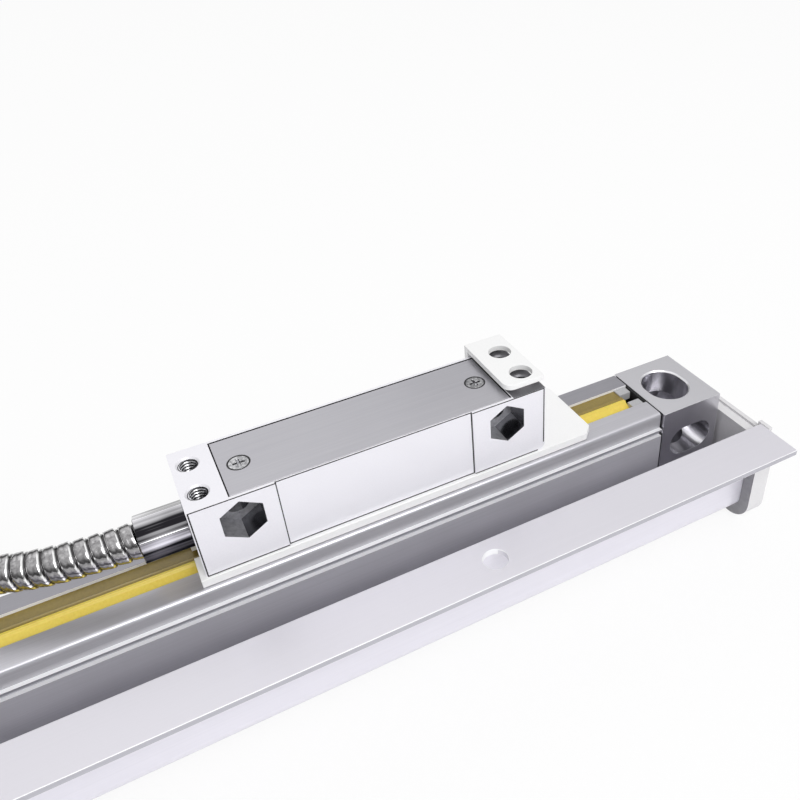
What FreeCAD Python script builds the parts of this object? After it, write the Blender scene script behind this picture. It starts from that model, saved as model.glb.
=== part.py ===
"""Sealed linear glass scale with its reading head, armoured cable, shipping bracket and protective cover.

Millimetres. X runs along the scale, Y points to the back and Z points up. The origin is under the
middle of the scale on the surface that the end caps stand on.
"""
import FreeCAD
import Part

import math
import os

from FreeCAD import Vector

X = Vector(1, 0, 0)
Y = Vector(0, 1, 0)
Z = Vector(0, 0, 1)

# Travel and the rest position of the reading head
TRAVEL = 185.0
END_MARGIN = 2.7
TRAVEL_RIGHT = 30.0

# Scale housing, an aluminium extrusion
SCALE_W = 20.7
SCALE_H = 29.4
SIDE_WALL = 2.2
FLOOR_WALL = 2.2
TOP_WALL = 3.6
BAND_SETBACK = 0.95
CORNER_R = 0.9
LEDGE_DROP = 4.3
LEDGE_THICK = 0.6
GROOVE_DROP = 6.25
EDGE_CHAMFER = 0.4
SLOT_W = 8.45
SLOT_OFFSET = 0.73
LIP_GROOVE_DROP = 1.5
LIP_GROOVE_H = 1.1
LIP_GROOVE_DEPTH = 1.3
BOSS_W = 2.6
BOSS_H = 4.6

# End blocks and the screws that hold them
BLOCK_L = 17.9
BLOCK_CHAMFER = 0.3
GASKET_T = 0.4
GASKET_INSET = 0.5
FOOT_SLOT_W = 10.8
FOOT_SLOT_L = 12.6
FOOT_SLOT_SHIFT = -0.65
FOOT_SLOT_RIM = 0.35
SIDE_SLOT_W = 8.4
SIDE_SLOT_L = 12.8
SIDE_SLOT_SHIFT = 0.4
SIDE_SLOT_DROP = 10.7
BLOCK_SCREW_Y = 7.8
BLOCK_SCREW_Z = 12.2
BLOCK_SCREW_R = 1.0
BLOCK_SCREW_HEAD_R = 1.9
BLOCK_SCREW_HEAD_H = 2.0
BLOCK_SCREW_DEPTH = 8.0
SCREW_CLEAR = 0.06
HEAD_CLEAR = 0.12
HEX_KEY_AF = 1.5

# Sealing lips and their end clips
LIP_T = 0.8
LIP_RISE = 1.1
LIP_GAP = 1.6
LIP_BEAD_R = 0.45
LIP_CLEAR = 0.08
CLIP_L = 3.3
CLIP_W = 2.5
CLIP_H = 2.1
CLIP_SINK = 0.4
CLIP_END_GAP = 0.5

# Glass scale and its seat
GLASS_T = 2.0
GLASS_H = 16.2
GLASS_END_GAP = 3.2
BOND_T = 0.25
SEAT_WALL = 1.3
SEAT_H = 3.2
SEAT_FLOOR = 0.4

# Protective cover
COVER_WALL = 1.5
COVER_FRONT_R = 3.3
COVER_BACK_R = 2.4
FRONT_GAP = 9.9
BACK_GAP = 1.0
COVER_FLANGE_W = 12.0
FLANGE_DROP = 5.1
COVER_BACK_DROP = 6.5
COVER_HOLE_R = 2.75
COVER_HOLE_SPACING = 156.0
COVER_HOLE_INSET = 6.0

# Cover end caps
CAP_GAP = 1.6
CAP_PLUG_L = 2.4
CAP_RIM_START = 0.8
CAP_SLOT_DEPTH = 4.1
CAP_PLATE_T = 1.05
CAP_RIM = 3.2
CAP_CLEAR = 0.05
CAP_TOP_GROOVE_W = 0.8
CAP_TOP_GROOVE_D = 0.7
CAP_LIP_W = 3.7
CAP_LIP_SHIFT = 0.9
CAP_LIP_RISE = 0.2

# Reading head
HEAD_L = 78.0
HEAD_W = 19.6
HEAD_H = 17.1
HEAD_OFFSET = 2.6
HEAD_BOTTOM_R = 1.6
FRONT_RELIEF = 0.4
RELIEF_LEFT = 17.0
RELIEF_RIGHT = 18.1
CAVITY_END = 19.5
CAVITY_WALL = 2.6
CAVITY_FLOOR = 4.1
PLATE_END = 8.2
PLATE_SIDE = 0.65
PLATE_T = 0.8
PLATE_CLEAR = 0.25
PLATE_SINK = 0.1
GASKET_STRIP = 1.6
GASKET_DEPTH = 0.5
TAP_R = 2.0
TAP_DEPTH = 5.0
TAP_CHAMFER = 0.4
TAP_END = 3.3
TAP_SPACING = 9.4
NUT_AF = 8.4
NUT_DEPTH = 6.0
NUT_DROP = 6.2
NUT_END = 9.7
THROUGH_R = 2.65
PLATE_SCREW_END = 12.4
PLATE_SCREW_R = 1.25
PLATE_SCREW_HEAD_R = 2.1
PLATE_SCREW_HEAD_H = 0.9
PLATE_SCREW_L = 3.2
CROSS_W = 0.55
CROSS_L = 2.4
CROSS_D = 0.6

# Gland, conduit and cable entry
GLAND_DROP = 9.4
GLAND_OFFSET = -1.2
GLAND_AF = 9.0
GLAND_L = 9.5
GLAND_SPIGOT_R = 3.5
GLAND_SPIGOT_L = 3.4
GLAND_FIT = 0.05
GLAND_BORE_DEPTH = 5.0
GLAND_WAY_R = 2.2
CABLE_BORE_R = 1.6
CABLE_BORE_SIDE = 1.9
CONDUIT_D = 7.5
CONDUIT_CLEAR = 0.1

# Shipping bracket
BRACKET_BASE_T = 1.9
BRACKET_LIFT = 0.1
BRACKET_T = 1.5
BRACKET_GAP = 1.1
BRACKET_LEFT = 1.2
BRACKET_RIGHT = 13.5
BRACKET_CORNER = 2.2
BRACKET_BACK_GAP = 0.2
BRACKET_FRONT = 0.6
BRACKET_FLANGE_L = 9.5
BRACKET_FLANGE_REACH = 0.5
BRACKET_FLANGE_T = 1.3
BRACKET_FLANGE_SETBACK = 1.3
BRACKET_HOLE_R = 2.6
FORK_CLEAR = 1.5
FORK_RIGHT = 6.0

# Blade, spring and scanning carriage
BLADE_T = 1.2
BLADE_L = 36.0
BLADE_TAPER = 4.0
FOOT_REACH = 2.5
FOOT_W = 9.0
FOOT_T = 1.8
FOOT_CLEAR = 0.1
FOOT_SCREW_INSET = 4.5
FOOT_SCREW_HEAD_R = 2.0
FOOT_SCREW_HEAD_H = 1.4
DRIVER_SLOT_W = 0.6
DRIVER_SLOT_D = 0.7
RIBBON_T = 0.2
RIBBON_W = 9.0
RIBBON_CLEAR = 0.05
RIBBON_ROOM = 0.5
SPRING_T = 0.4
SPRING_W = 1.7
SPRING_INSET = 0.9
SPRING_FLAT = 4.0
SPRING_REACH = 14.0
SPRING_FOOT = 3.0
SPRING_RISE = 1.3
CARRIAGE_L = 60.0
CARRIAGE_W = 13.3
CARRIAGE_T = 4.4
CARRIAGE_CLEAR = 0.6
LIMB_L = 18.0
LIMB_GAP = 0.7
LIMB_FOOT_GAP = 1.2
BEARING_R = 2.5
BEARING_BORE = 1.0
BEARING_W = 2.3
BEARING_RECESS = 0.25
BEARING_RIM = 0.45
BEARING_HUB = 0.4
BEARING_ROOM = 0.4
ROLL_CLEAR = 0.05
PIN_CLEAR = 0.05
PIN_HEAD_R = 1.6
PIN_HEAD_H = 0.6
PIN_SEAT = 2.0
BOSS_SEAT = 0.5
SIDE_CLEAR = 0.15
FACE_BEARINGS = ((-22.0, 2.6), (22.0, 2.6), (13.0, 6.2))
EDGE_BEARING_X = 26.0
LED_R = 1.5
LED_INSET = 0.3
LED_LENS_GAP = 0.2
OPTICS_RISE = 1.6
LENS_R = 2.4
LENS_T = 1.4
RETICLE_W = 10.0
RETICLE_H = 7.0
RETICLE_T = 0.9
RETICLE_GAP = 0.35
DETECTOR_T = 1.0
DETECTOR_INSET = 1.0
BOARD_T = 0.8
PCB_T = 1.2
PCB_CLEAR = 0.5
PCB_RISE = 3.0
POST_R = 1.3
POST_INSET = 2.4
CHIP_INSET = 1.2
# The cavity's end that each part on the board keeps to, its gap to it, its length, depth and height
CHIPS = ((-1, 5.5, 9.0, 4.0, 1.4), (1, 7.5, 9.0, 4.0, 1.4), (-1, 2.0, 2.5, 8.0, 3.0))

# Armoured cable: the points of the uncoiled runs, the coil and the plug
CABLE_RUN = (
    (18.0, 8.95, 43.8),
    (3.0, 8.95, 43.8),
    (-12.0, 13.7, 43.9),
    (-28.0, 21.1, 45.6),
    (-44.0, 27.1, 44.2),
    (-59.0, 30.1, 38.8),
    (-74.0, 30.5, 31.0),
    (-88.0, 30.4, 26.0),
    (-101.0, 30.5, 24.7),
)
CABLE_TAIL = (
    (-74.9, 67.1, 24.7),
    (-81.7, 58.6, 27.0),
    (-91.3, 52.6, 30.8),
    (-103.3, 49.5, 34.2),
    (-116.9, 51.4, 35.8),
    (-127.7, 57.6, 36.0),
    (-135.7, 67.2, 35.9),
    (-140.0, 78.9, 35.9),
    (-140.0, 90.7, 35.9),
)
COIL_CENTRE = (-98.0, 79.4)
COIL_OUTER_TURN_R = 49.0
COIL_INNER_TURN_R = 26.2
COIL_TOP_TURN_Z = 24.65
COIL_EDGE = 1.6
TIE_W = 6.0
TIE_T = 1.2
TIE_CLEAR = 0.2
TIE_CORNER = 3.0

# Nine-pole plug
PLUG_L = 40.0
PLUG_ENTRY = 6.5
PLUG_W = 31.0
PLUG_T = 15.0
PLUG_SPLIT = 0.1
PLUG_NECK_L = 9.0
PLUG_NECK_R = 6.2
PLUG_SHOULDER = 9.0
PLUG_CORNER = 2.5
SHELL_FLANGE_T = 1.0
SHELL_FLANGE_H = 12.5
SHELL_D_W = 16.9
SHELL_D_H = 8.3
SHELL_D_L = 6.0
SHELL_WALL = 0.5
SHELL_SLOPE = 10.0
INSERT_CLEAR = 0.05
INSERT_DEPTH = 3.0
INSERT_PROUD = 0.5
SHELL_ROUND = 0.22
PIN_R = 0.5
PIN_PITCH = 2.77
PIN_ROW_GAP = 2.84
PIN_L = 5.0
PIN_TIP = 0.4
PIN_REAR = 5.0
THUMB_SPACING = 25.0
THUMB_R = 1.4
THUMB_KNOB_R = 3.0
THUMB_KNOB_L = 8.0
THUMB_REACH = 5.5
THUMB_CLEAR = 0.08
KNOB_ROOM = 0.4
KNOB_END_GAP = 0.2
KNOB_SLOT_W = 0.8
KNOB_SLOT_D = 1.2
PLUG_WALL = 1.6
PLUG_HOLLOW = 7.0
PLUG_MOUTH = 4.0
HOOD_SCREW_R = 1.0
HOOD_SCREW_HEAD_R = 1.9
HOOD_SCREW_HEAD_H = 1.3
HOOD_SCREW_SINK = 0.2
HOOD_SCREW_LOW = 2.5
HOOD_BORE_LOW = 2.0
HOOD_SCREW_X = 9.0
HOOD_SCREW_Y = 28.0

# Places that follow from the sizes above
HOUSING_L = TRAVEL + HEAD_L + 2 * END_MARGIN
SCALE_END = HOUSING_L / 2 + GASKET_T + BLOCK_L
CHANNEL_END = SCALE_END + CAP_RIM_START + CAP_SLOT_DEPTH
CAP_OUT = CHANNEL_END + CAP_CLEAR + CAP_PLATE_T
INNER_W = FRONT_GAP + SCALE_W + BACK_GAP
COVER_DEPTH = COVER_FLANGE_W + INNER_W + COVER_WALL + CAP_RIM
FLANGE_FRONT = -COVER_DEPTH / 2
INNER_FRONT = FLANGE_FRONT + COVER_FLANGE_W
INNER_BACK = INNER_FRONT + INNER_W
SCALE_FRONT = INNER_FRONT + FRONT_GAP
SCALE_BACK = SCALE_FRONT + SCALE_W
SCALE_MID = (SCALE_FRONT + SCALE_BACK) / 2
CHANNEL_BOTTOM = CAP_RIM
SCALE_BOTTOM = CHANNEL_BOTTOM + COVER_WALL
SCALE_TOP = SCALE_BOTTOM + SCALE_H
SLOT_MID = SCALE_MID + SLOT_OFFSET
FLANGE_TOP = SCALE_TOP - FLANGE_DROP
COVER_BACK_TOP = SCALE_TOP - COVER_BACK_DROP

HEAD_RIGHT = HOUSING_L / 2 - END_MARGIN - TRAVEL_RIGHT
HEAD_LEFT = HEAD_RIGHT - HEAD_L
HEAD_MID = (HEAD_LEFT + HEAD_RIGHT) / 2
HEAD_FRONT = SCALE_FRONT + HEAD_OFFSET
HEAD_BACK = HEAD_FRONT + HEAD_W
HEAD_Y = (HEAD_FRONT + HEAD_BACK) / 2
BRACKET_BOTTOM = SCALE_TOP + BRACKET_LIFT
HEAD_BOTTOM = BRACKET_BOTTOM + BRACKET_BASE_T
HEAD_TOP = HEAD_BOTTOM + HEAD_H
CAVITY_BOTTOM = HEAD_BOTTOM + CAVITY_FLOOR
CAVITY_L = HEAD_L - 2 * CAVITY_END
FOOT_L = CAVITY_L + 2 * FOOT_REACH

CAVITY_TOP = SCALE_TOP - TOP_WALL
SEAT_BOTTOM = SCALE_BOTTOM + FLOOR_WALL + SEAT_FLOOR
GLASS_BOTTOM = SEAT_BOTTOM + BOND_T
GLASS_TOP = GLASS_BOTTOM + GLASS_H
GLASS_FRONT = SLOT_MID - GLASS_T / 2
GLASS_BACK = SLOT_MID + GLASS_T / 2
SEAT_TOP = SCALE_BOTTOM + FLOOR_WALL + SEAT_H
CARRIAGE_BOTTOM = GLASS_TOP + CARRIAGE_CLEAR
CARRIAGE_TOP = CARRIAGE_BOTTOM + CARRIAGE_T
BLADE_BOTTOM = CARRIAGE_TOP + SPRING_RISE + SPRING_T
OPTICS_Z = GLASS_TOP - GLASS_H / 2 + OPTICS_RISE

GLAND_Y = HEAD_Y + GLAND_OFFSET
GLAND_Z = HEAD_TOP - GLAND_DROP
GLAND_LEFT = HEAD_LEFT - GLAND_L


def box(x0, x1, y0, y1, z0, z1):
    """A box between two corners."""
    return Part.makeBox(x1 - x0, y1 - y0, z1 - z0, Vector(x0, y0, z0))


def rod(radius, start, length, axis):
    """A round rod from start along axis."""
    return Part.makeCylinder(radius, length, Vector(*start), axis)


def cone(r0, r1, start, length, axis):
    """A cone frustum from start along axis."""
    return Part.makeCone(r0, r1, length, Vector(*start), axis)


def outline(*steps):
    """A closed wire through the given points; a pair (middle, end) is an arc."""
    edges = []
    start = steps[0]
    last = start
    for step in steps[1:]:
        if isinstance(step, tuple):
            edges.append(Part.Arc(last, step[0], step[1]).toShape())
            last = step[1]
        else:
            edges.append(Part.LineSegment(last, step).toShape())
            last = step
    if last.distanceToPoint(start) > 1e-6:
        edges.append(Part.LineSegment(last, start).toShape())
    return Part.Wire(edges)


def extrude_x(wire, x0, x1):
    """A prism along X from an outline drawn at x = 0."""
    prism = Part.Face(wire).extrude(X * (x1 - x0))
    prism.translate(X * x0)
    return prism


def corner_arc(centre, radius, angle0, angle1):
    """The middle and end point of an arc in the YZ plane, angles in degrees from +Y."""
    middle = math.radians((angle0 + angle1) / 2)
    end = math.radians(angle1)
    return (
        Vector(0, centre[0] + radius * math.cos(middle), centre[1] + radius * math.sin(middle)),
        Vector(0, centre[0] + radius * math.cos(end), centre[1] + radius * math.sin(end)),
    )


def polygon(centre, across_flats, length, axis, turn):
    """A hexagonal prism; turn is the angle of its first corner in degrees."""
    radius = across_flats / math.sqrt(3)
    side = Z if abs(axis.z) < 0.5 else X
    other = axis.cross(side)
    points = []
    for k in range(7):
        angle = math.radians(turn + 60 * k)
        reach = side * (radius * math.cos(angle)) + other * (radius * math.sin(angle))
        points.append(Vector(*centre) + reach)
    return Part.Face(Part.makePolygon(points)).extrude(axis * length)


def obround_z(x, y, width, length, z0, z1):
    """An upright slot cutter that is long along Y."""
    run = (length - width) / 2
    core = box(x - width / 2, x + width / 2, y - run, y + run, z0, z1)
    ends = [rod(width / 2, (x, y + s * run, z0), z1 - z0, Z) for s in (-1, 1)]
    return core.fuse(ends).removeSplitter()


def mirrored_x(shape):
    """The mirror image of a shape in the plane x = 0."""
    return shape.mirror(Vector(0, 0, 0), X)


def block_screw_places():
    """Y and Z of the screws that join an end block to the housing."""
    middle = SCALE_BOTTOM + SCALE_H / 2
    sides = (-1, 1)
    return [(SCALE_MID + sy * BLOCK_SCREW_Y, middle + sz * BLOCK_SCREW_Z) for sy in sides for sz in sides]


def scale_housing():
    """The extrusion: ledged front, slotted top, cavity, glass seat and screw channels."""
    front = SCALE_FRONT
    band = SCALE_FRONT + BAND_SETBACK
    top = SCALE_TOP
    bottom = SCALE_BOTTOM
    c = EDGE_CHAMFER
    wire = outline(
        Vector(0, front + c, bottom),
        Vector(0, SCALE_BACK - c, bottom),
        Vector(0, SCALE_BACK, bottom + c),
        Vector(0, SCALE_BACK, top - c),
        Vector(0, SCALE_BACK - c, top),
        Vector(0, band + CORNER_R, top),
        corner_arc((band + CORNER_R, top - CORNER_R), CORNER_R, 90, 180),
        Vector(0, band, top - LEDGE_DROP),
        Vector(0, front, top - LEDGE_DROP),
        Vector(0, front, top - LEDGE_DROP - LEDGE_THICK),
        Vector(0, band, top - LEDGE_DROP - LEDGE_THICK),
        Vector(0, band, top - GROOVE_DROP),
        Vector(0, front, top - GROOVE_DROP),
        Vector(0, front, bottom + c),
    )
    body = extrude_x(wire, -HOUSING_L / 2, HOUSING_L / 2)
    far = HOUSING_L / 2 + 1
    y0 = front + SIDE_WALL
    y1 = SCALE_BACK - SIDE_WALL
    floor = bottom + FLOOR_WALL
    seat_half = GLASS_T / 2 + BOND_T + SEAT_WALL
    groove_half = GLASS_T / 2 + BOND_T
    cavity = outline(
        Vector(0, y0 + BOSS_W, floor),
        Vector(0, SLOT_MID - seat_half, floor),
        Vector(0, SLOT_MID - seat_half, SEAT_TOP),
        Vector(0, SLOT_MID - groove_half, SEAT_TOP),
        Vector(0, SLOT_MID - groove_half, SEAT_BOTTOM),
        Vector(0, SLOT_MID + groove_half, SEAT_BOTTOM),
        Vector(0, SLOT_MID + groove_half, SEAT_TOP),
        Vector(0, SLOT_MID + seat_half, SEAT_TOP),
        Vector(0, SLOT_MID + seat_half, floor),
        Vector(0, y1 - BOSS_W, floor),
        Vector(0, y1 - BOSS_W, bottom + BOSS_H),
        Vector(0, y1, bottom + BOSS_H),
        Vector(0, y1, CAVITY_TOP),
        Vector(0, y0, CAVITY_TOP),
        Vector(0, y0, bottom + BOSS_H),
        Vector(0, y0 + BOSS_W, bottom + BOSS_H),
    )
    slot = box(-far, far, SLOT_MID - SLOT_W / 2, SLOT_MID + SLOT_W / 2, CAVITY_TOP - 1, top + 1)
    lip_half = SLOT_W / 2 + LIP_GROOVE_DEPTH
    z1 = top - LIP_GROOVE_DROP
    grooves = box(-far, far, SLOT_MID - lip_half, SLOT_MID + lip_half, z1 - LIP_GROOVE_H, z1)
    cutters = [extrude_x(cavity, -far, far), slot, grooves]
    for y, z in block_screw_places():
        for x in (-HOUSING_L / 2 - 1, HOUSING_L / 2 - BLOCK_SCREW_DEPTH):
            cutters.append(rod(BLOCK_SCREW_R + SCREW_CLEAR, (x, y, z), BLOCK_SCREW_DEPTH + 1, X))
    return body.cut(cutters)


def end_block():
    """The right end block with its crossed mounting slots and counterbored screw holes."""
    x0 = HOUSING_L / 2 + GASKET_T
    x1 = SCALE_END
    foot_x = (x0 + x1) / 2 + FOOT_SLOT_SHIFT
    side_x = (x0 + x1) / 2 + SIDE_SLOT_SHIFT
    block = box(x0, x1, SCALE_FRONT, SCALE_BACK, SCALE_BOTTOM, SCALE_TOP)
    rims = [e for e in block.Edges if e.BoundBox.XMin > x1 - 0.01]
    block = block.makeChamfer(BLOCK_CHAMFER, rims)
    foot = obround_z(foot_x, SCALE_MID, FOOT_SLOT_W, FOOT_SLOT_L, SCALE_BOTTOM - 1, SCALE_TOP + 1)
    block = block.cut(foot)
    near = FOOT_SLOT_L / 2 + 0.01
    rims = [
        e for e in block.Edges
        if e.BoundBox.ZMin > SCALE_TOP - 0.01 and e.BoundBox.YMax < SCALE_MID + near
        and e.BoundBox.YMin > SCALE_MID - near
    ]
    block = block.makeChamfer(FOOT_SLOT_RIM, rims)
    z_mid = SCALE_TOP - SIDE_SLOT_DROP
    run = (SIDE_SLOT_L - SIDE_SLOT_W) / 2
    side = box(
        side_x - run, side_x + run, SCALE_FRONT - 1, SCALE_BACK + 1,
        z_mid - SIDE_SLOT_W / 2, z_mid + SIDE_SLOT_W / 2,
    )
    places = [(side_x + s * run, SCALE_FRONT - 1, z_mid) for s in (-1, 1)]
    ends = [rod(SIDE_SLOT_W / 2, place, SCALE_W + 2, Y) for place in places]
    cutters = [side.fuse(ends).removeSplitter()]
    for y, z in block_screw_places():
        cutters.append(rod(BLOCK_SCREW_R + SCREW_CLEAR, (x0 - 1, y, z), BLOCK_L + 2, X))
        head = BLOCK_SCREW_HEAD_H + HEAD_CLEAR
        cutters.append(rod(BLOCK_SCREW_HEAD_R + HEAD_CLEAR, (x1 - head, y, z), head + 1, X))
    return block.cut(cutters)


def end_gasket():
    """The flat gasket between the housing and the right end block."""
    x0 = HOUSING_L / 2
    i = GASKET_INSET
    sheet = box(
        x0, x0 + GASKET_T, SCALE_FRONT + BAND_SETBACK + i, SCALE_BACK - i,
        SCALE_BOTTOM + i, SCALE_TOP - i,
    )
    radius = BLOCK_SCREW_R + SCREW_CLEAR
    holes = [rod(radius, (x0 - 1, y, z), GASKET_T + 2, X) for y, z in block_screw_places()]
    return sheet.cut(holes)


def block_screws(side):
    """The four socket screws of one end block; side is -1 or 1."""
    screws = []
    reach = HOUSING_L / 2 - BLOCK_SCREW_DEPTH + 1
    for y, z in block_screw_places():
        head_x = SCALE_END - BLOCK_SCREW_HEAD_H
        shank = rod(BLOCK_SCREW_R, (reach, y, z), head_x - reach, X)
        head = rod(BLOCK_SCREW_HEAD_R, (head_x, y, z), BLOCK_SCREW_HEAD_H, X)
        socket = polygon((SCALE_END - BLOCK_SCREW_HEAD_H / 2, y, z), HEX_KEY_AF, BLOCK_SCREW_HEAD_H, X, 0)
        screws.append(shank.fuse(head).cut(socket))
    group = Part.makeCompound(screws)
    return mirrored_x(group) if side < 0 else group


def seal_lip(side):
    """One sealing lip: a foot in the groove, a sloping flap and a bead; side is -1 or 1 along Y."""
    edge = SLOT_MID + side * SLOT_W / 2
    root = edge + side * (LIP_GROOVE_DEPTH - LIP_CLEAR)
    tip = SLOT_MID + side * LIP_GAP / 2
    z1 = SCALE_TOP - LIP_GROOVE_DROP - LIP_CLEAR
    z0 = z1 - LIP_T
    bead = SLOT_MID + side * (LIP_GAP / 2 + 2 * LIP_BEAD_R)
    wire = outline(
        Vector(0, root, z0),
        Vector(0, edge, z0),
        Vector(0, tip, z0 + LIP_RISE),
        Vector(0, tip, z1 + LIP_RISE),
        (Vector(0, (tip + bead) / 2, z1 + LIP_RISE + LIP_BEAD_R / 2), Vector(0, bead, z1 + LIP_RISE - 0.2)),
        Vector(0, edge, z1),
        Vector(0, root, z1),
    )
    half = HOUSING_L / 2 - CLIP_END_GAP - CLIP_L
    return extrude_x(wire, -half, half)


def lip_clips(side):
    """The two clips that hold one lip's ends; side is -1 or 1 along Y."""
    edge = SLOT_MID + side * SLOT_W / 2
    z1 = SCALE_TOP - CLIP_SINK
    groove_top = SCALE_TOP - LIP_GROOVE_DROP
    clips = []
    for end in (-1, 1):
        xs = sorted((end * (HOUSING_L / 2 - CLIP_END_GAP), end * (HOUSING_L / 2 - CLIP_END_GAP - CLIP_L)))
        near = edge - side * LIP_CLEAR
        ys = sorted((near, near - side * CLIP_W))
        body = box(xs[0], xs[1], ys[0], ys[1], z1 - CLIP_H, z1)
        root = edge + side * (LIP_GROOVE_DEPTH - LIP_CLEAR)
        yf = sorted((root, near - side * CLIP_W / 2))
        foot = box(xs[0], xs[1], yf[0], yf[1], groove_top - LIP_CLEAR - LIP_T, groove_top - LIP_CLEAR)
        clips.append(body.fuse(foot).removeSplitter())
    return Part.makeCompound(clips)


def glass_half():
    """Half the length of the glass and of its bond."""
    return HOUSING_L / 2 - GLASS_END_GAP


def glass_scale():
    """The graduated glass strip, standing in its seat."""
    return box(-glass_half(), glass_half(), GLASS_FRONT, GLASS_BACK, GLASS_BOTTOM, GLASS_TOP)


def glass_bond():
    """The elastic adhesive that fills the seat on both sides of the glass and under it."""
    half = glass_half()
    outer = box(-half, half, GLASS_FRONT - BOND_T, GLASS_BACK + BOND_T, SEAT_BOTTOM, SEAT_TOP)
    return outer.cut(box(-half - 1, half + 1, GLASS_FRONT, GLASS_BACK, GLASS_BOTTOM, SEAT_TOP + 1))


def cover_outline(grow, flange_to, front_top, back_top):
    """The cover's section offset outwards by grow; flange_to is None for one without a flange."""
    y0 = INNER_FRONT - COVER_WALL - grow
    y1 = INNER_BACK + COVER_WALL + grow
    z0 = CHANNEL_BOTTOM - grow
    rf = COVER_FRONT_R + grow
    rb = COVER_BACK_R + grow
    steps = [
        Vector(0, y0, z0 + rf),
        corner_arc((y0 + rf, z0 + rf), rf, 180, 270),
        Vector(0, y1 - rb, z0),
        corner_arc((y1 - rb, z0 + rb), rb, 270, 360),
        Vector(0, y1, back_top),
    ]
    if flange_to is None:
        steps.append(Vector(0, y0, back_top))
        return outline(*steps)
    w = COVER_WALL
    steps += [
        Vector(0, y1 - w, back_top),
        Vector(0, y1 - w, z0 + rb),
        corner_arc((y1 - rb, z0 + rb), rb - w, 360, 270),
        Vector(0, y0 + rf, z0 + w),
        corner_arc((y0 + rf, z0 + rf), rf - w, 270, 180),
        Vector(0, y0 + w, front_top),
        Vector(0, flange_to, front_top),
        Vector(0, flange_to, front_top - w),
        Vector(0, y0, front_top - w),
    ]
    return outline(*steps)


def cover_hole_y():
    """Y of the cover's mounting holes, in the middle of the flange's free part."""
    return FLANGE_FRONT + COVER_HOLE_INSET


def cover_channel():
    """The open protective channel with its drilled front flange."""
    wire = cover_outline(0.0, FLANGE_FRONT, FLANGE_TOP, COVER_BACK_TOP)
    body = extrude_x(wire, -CHANNEL_END, CHANNEL_END)
    holes = []
    for side in (-1, 1):
        x = side * COVER_HOLE_SPACING / 2
        holes.append(rod(COVER_HOLE_R, (x, cover_hole_y(), FLANGE_TOP - COVER_WALL - 1), COVER_WALL + 2, Z))
    return body.cut(holes)


def cover_end_cap():
    """The right end cap: a plate, a rim round the channel, a plug inside it and a lip by the flange."""
    under = FLANGE_TOP - COVER_WALL - CAP_CLEAR
    rim_x = SCALE_END + CAP_RIM_START
    plug_x = SCALE_END + CAP_GAP
    grip = cover_outline(CAP_CLEAR, None, under, under)
    cap = extrude_x(cover_outline(CAP_RIM, None, under, under), rim_x, CAP_OUT)
    seat = extrude_x(grip, rim_x - 1, CHANNEL_END + CAP_CLEAR)
    plug = extrude_x(cover_outline(-COVER_WALL - CAP_CLEAR, None, under, under), plug_x, CHANNEL_END + 1)
    lip_y = INNER_FRONT - CAP_LIP_SHIFT
    lip = box(
        CHANNEL_END + CAP_CLEAR, CAP_OUT, lip_y - CAP_LIP_W / 2, lip_y + CAP_LIP_W / 2,
        under, FLANGE_TOP + CAP_LIP_RISE,
    )
    groove_x = plug_x + CAP_PLUG_L
    groove = box(
        groove_x, groove_x + CAP_TOP_GROOVE_W, INNER_FRONT + CAP_CLEAR, INNER_BACK - CAP_CLEAR,
        under - CAP_TOP_GROOVE_D, under + 1,
    )
    cap = cap.cut(seat).fuse([plug, lip])
    return cap.cut(groove).removeSplitter()


def head_taps():
    """X and Y of the four tapped holes in the reading head's top."""
    xs = (HEAD_LEFT + TAP_END, HEAD_RIGHT - TAP_END)
    return [(x, HEAD_Y + s * TAP_SPACING / 2) for x in xs for s in (-1, 1)]


def nut_places():
    """X of the two hexagonal nut pockets in the reading head's front."""
    return (HEAD_LEFT + NUT_END, HEAD_RIGHT - NUT_END)


def plate_screw_places():
    """X of the two cover plate screws."""
    return (HEAD_LEFT + PLATE_SCREW_END, HEAD_RIGHT - PLATE_SCREW_END)


def foot_screw_places():
    """X of the two screws that hold the blade's foot."""
    reach = CAVITY_L / 2 - FOOT_SCREW_INSET
    return (HEAD_MID - reach, HEAD_MID + reach)


def countersink(x, clear):
    """The body of a countersunk screw in the cover plate, grown by clear."""
    top = HEAD_TOP - PLATE_SINK
    depth = PLATE_SCREW_HEAD_H
    head = cone(PLATE_SCREW_R + clear, PLATE_SCREW_HEAD_R + clear, (x, HEAD_Y, top - depth), depth, Z)
    shank = rod(PLATE_SCREW_R + clear, (x, HEAD_Y, top - PLATE_SCREW_L), PLATE_SCREW_L - depth, Z)
    return head.fuse(shank)


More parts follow.
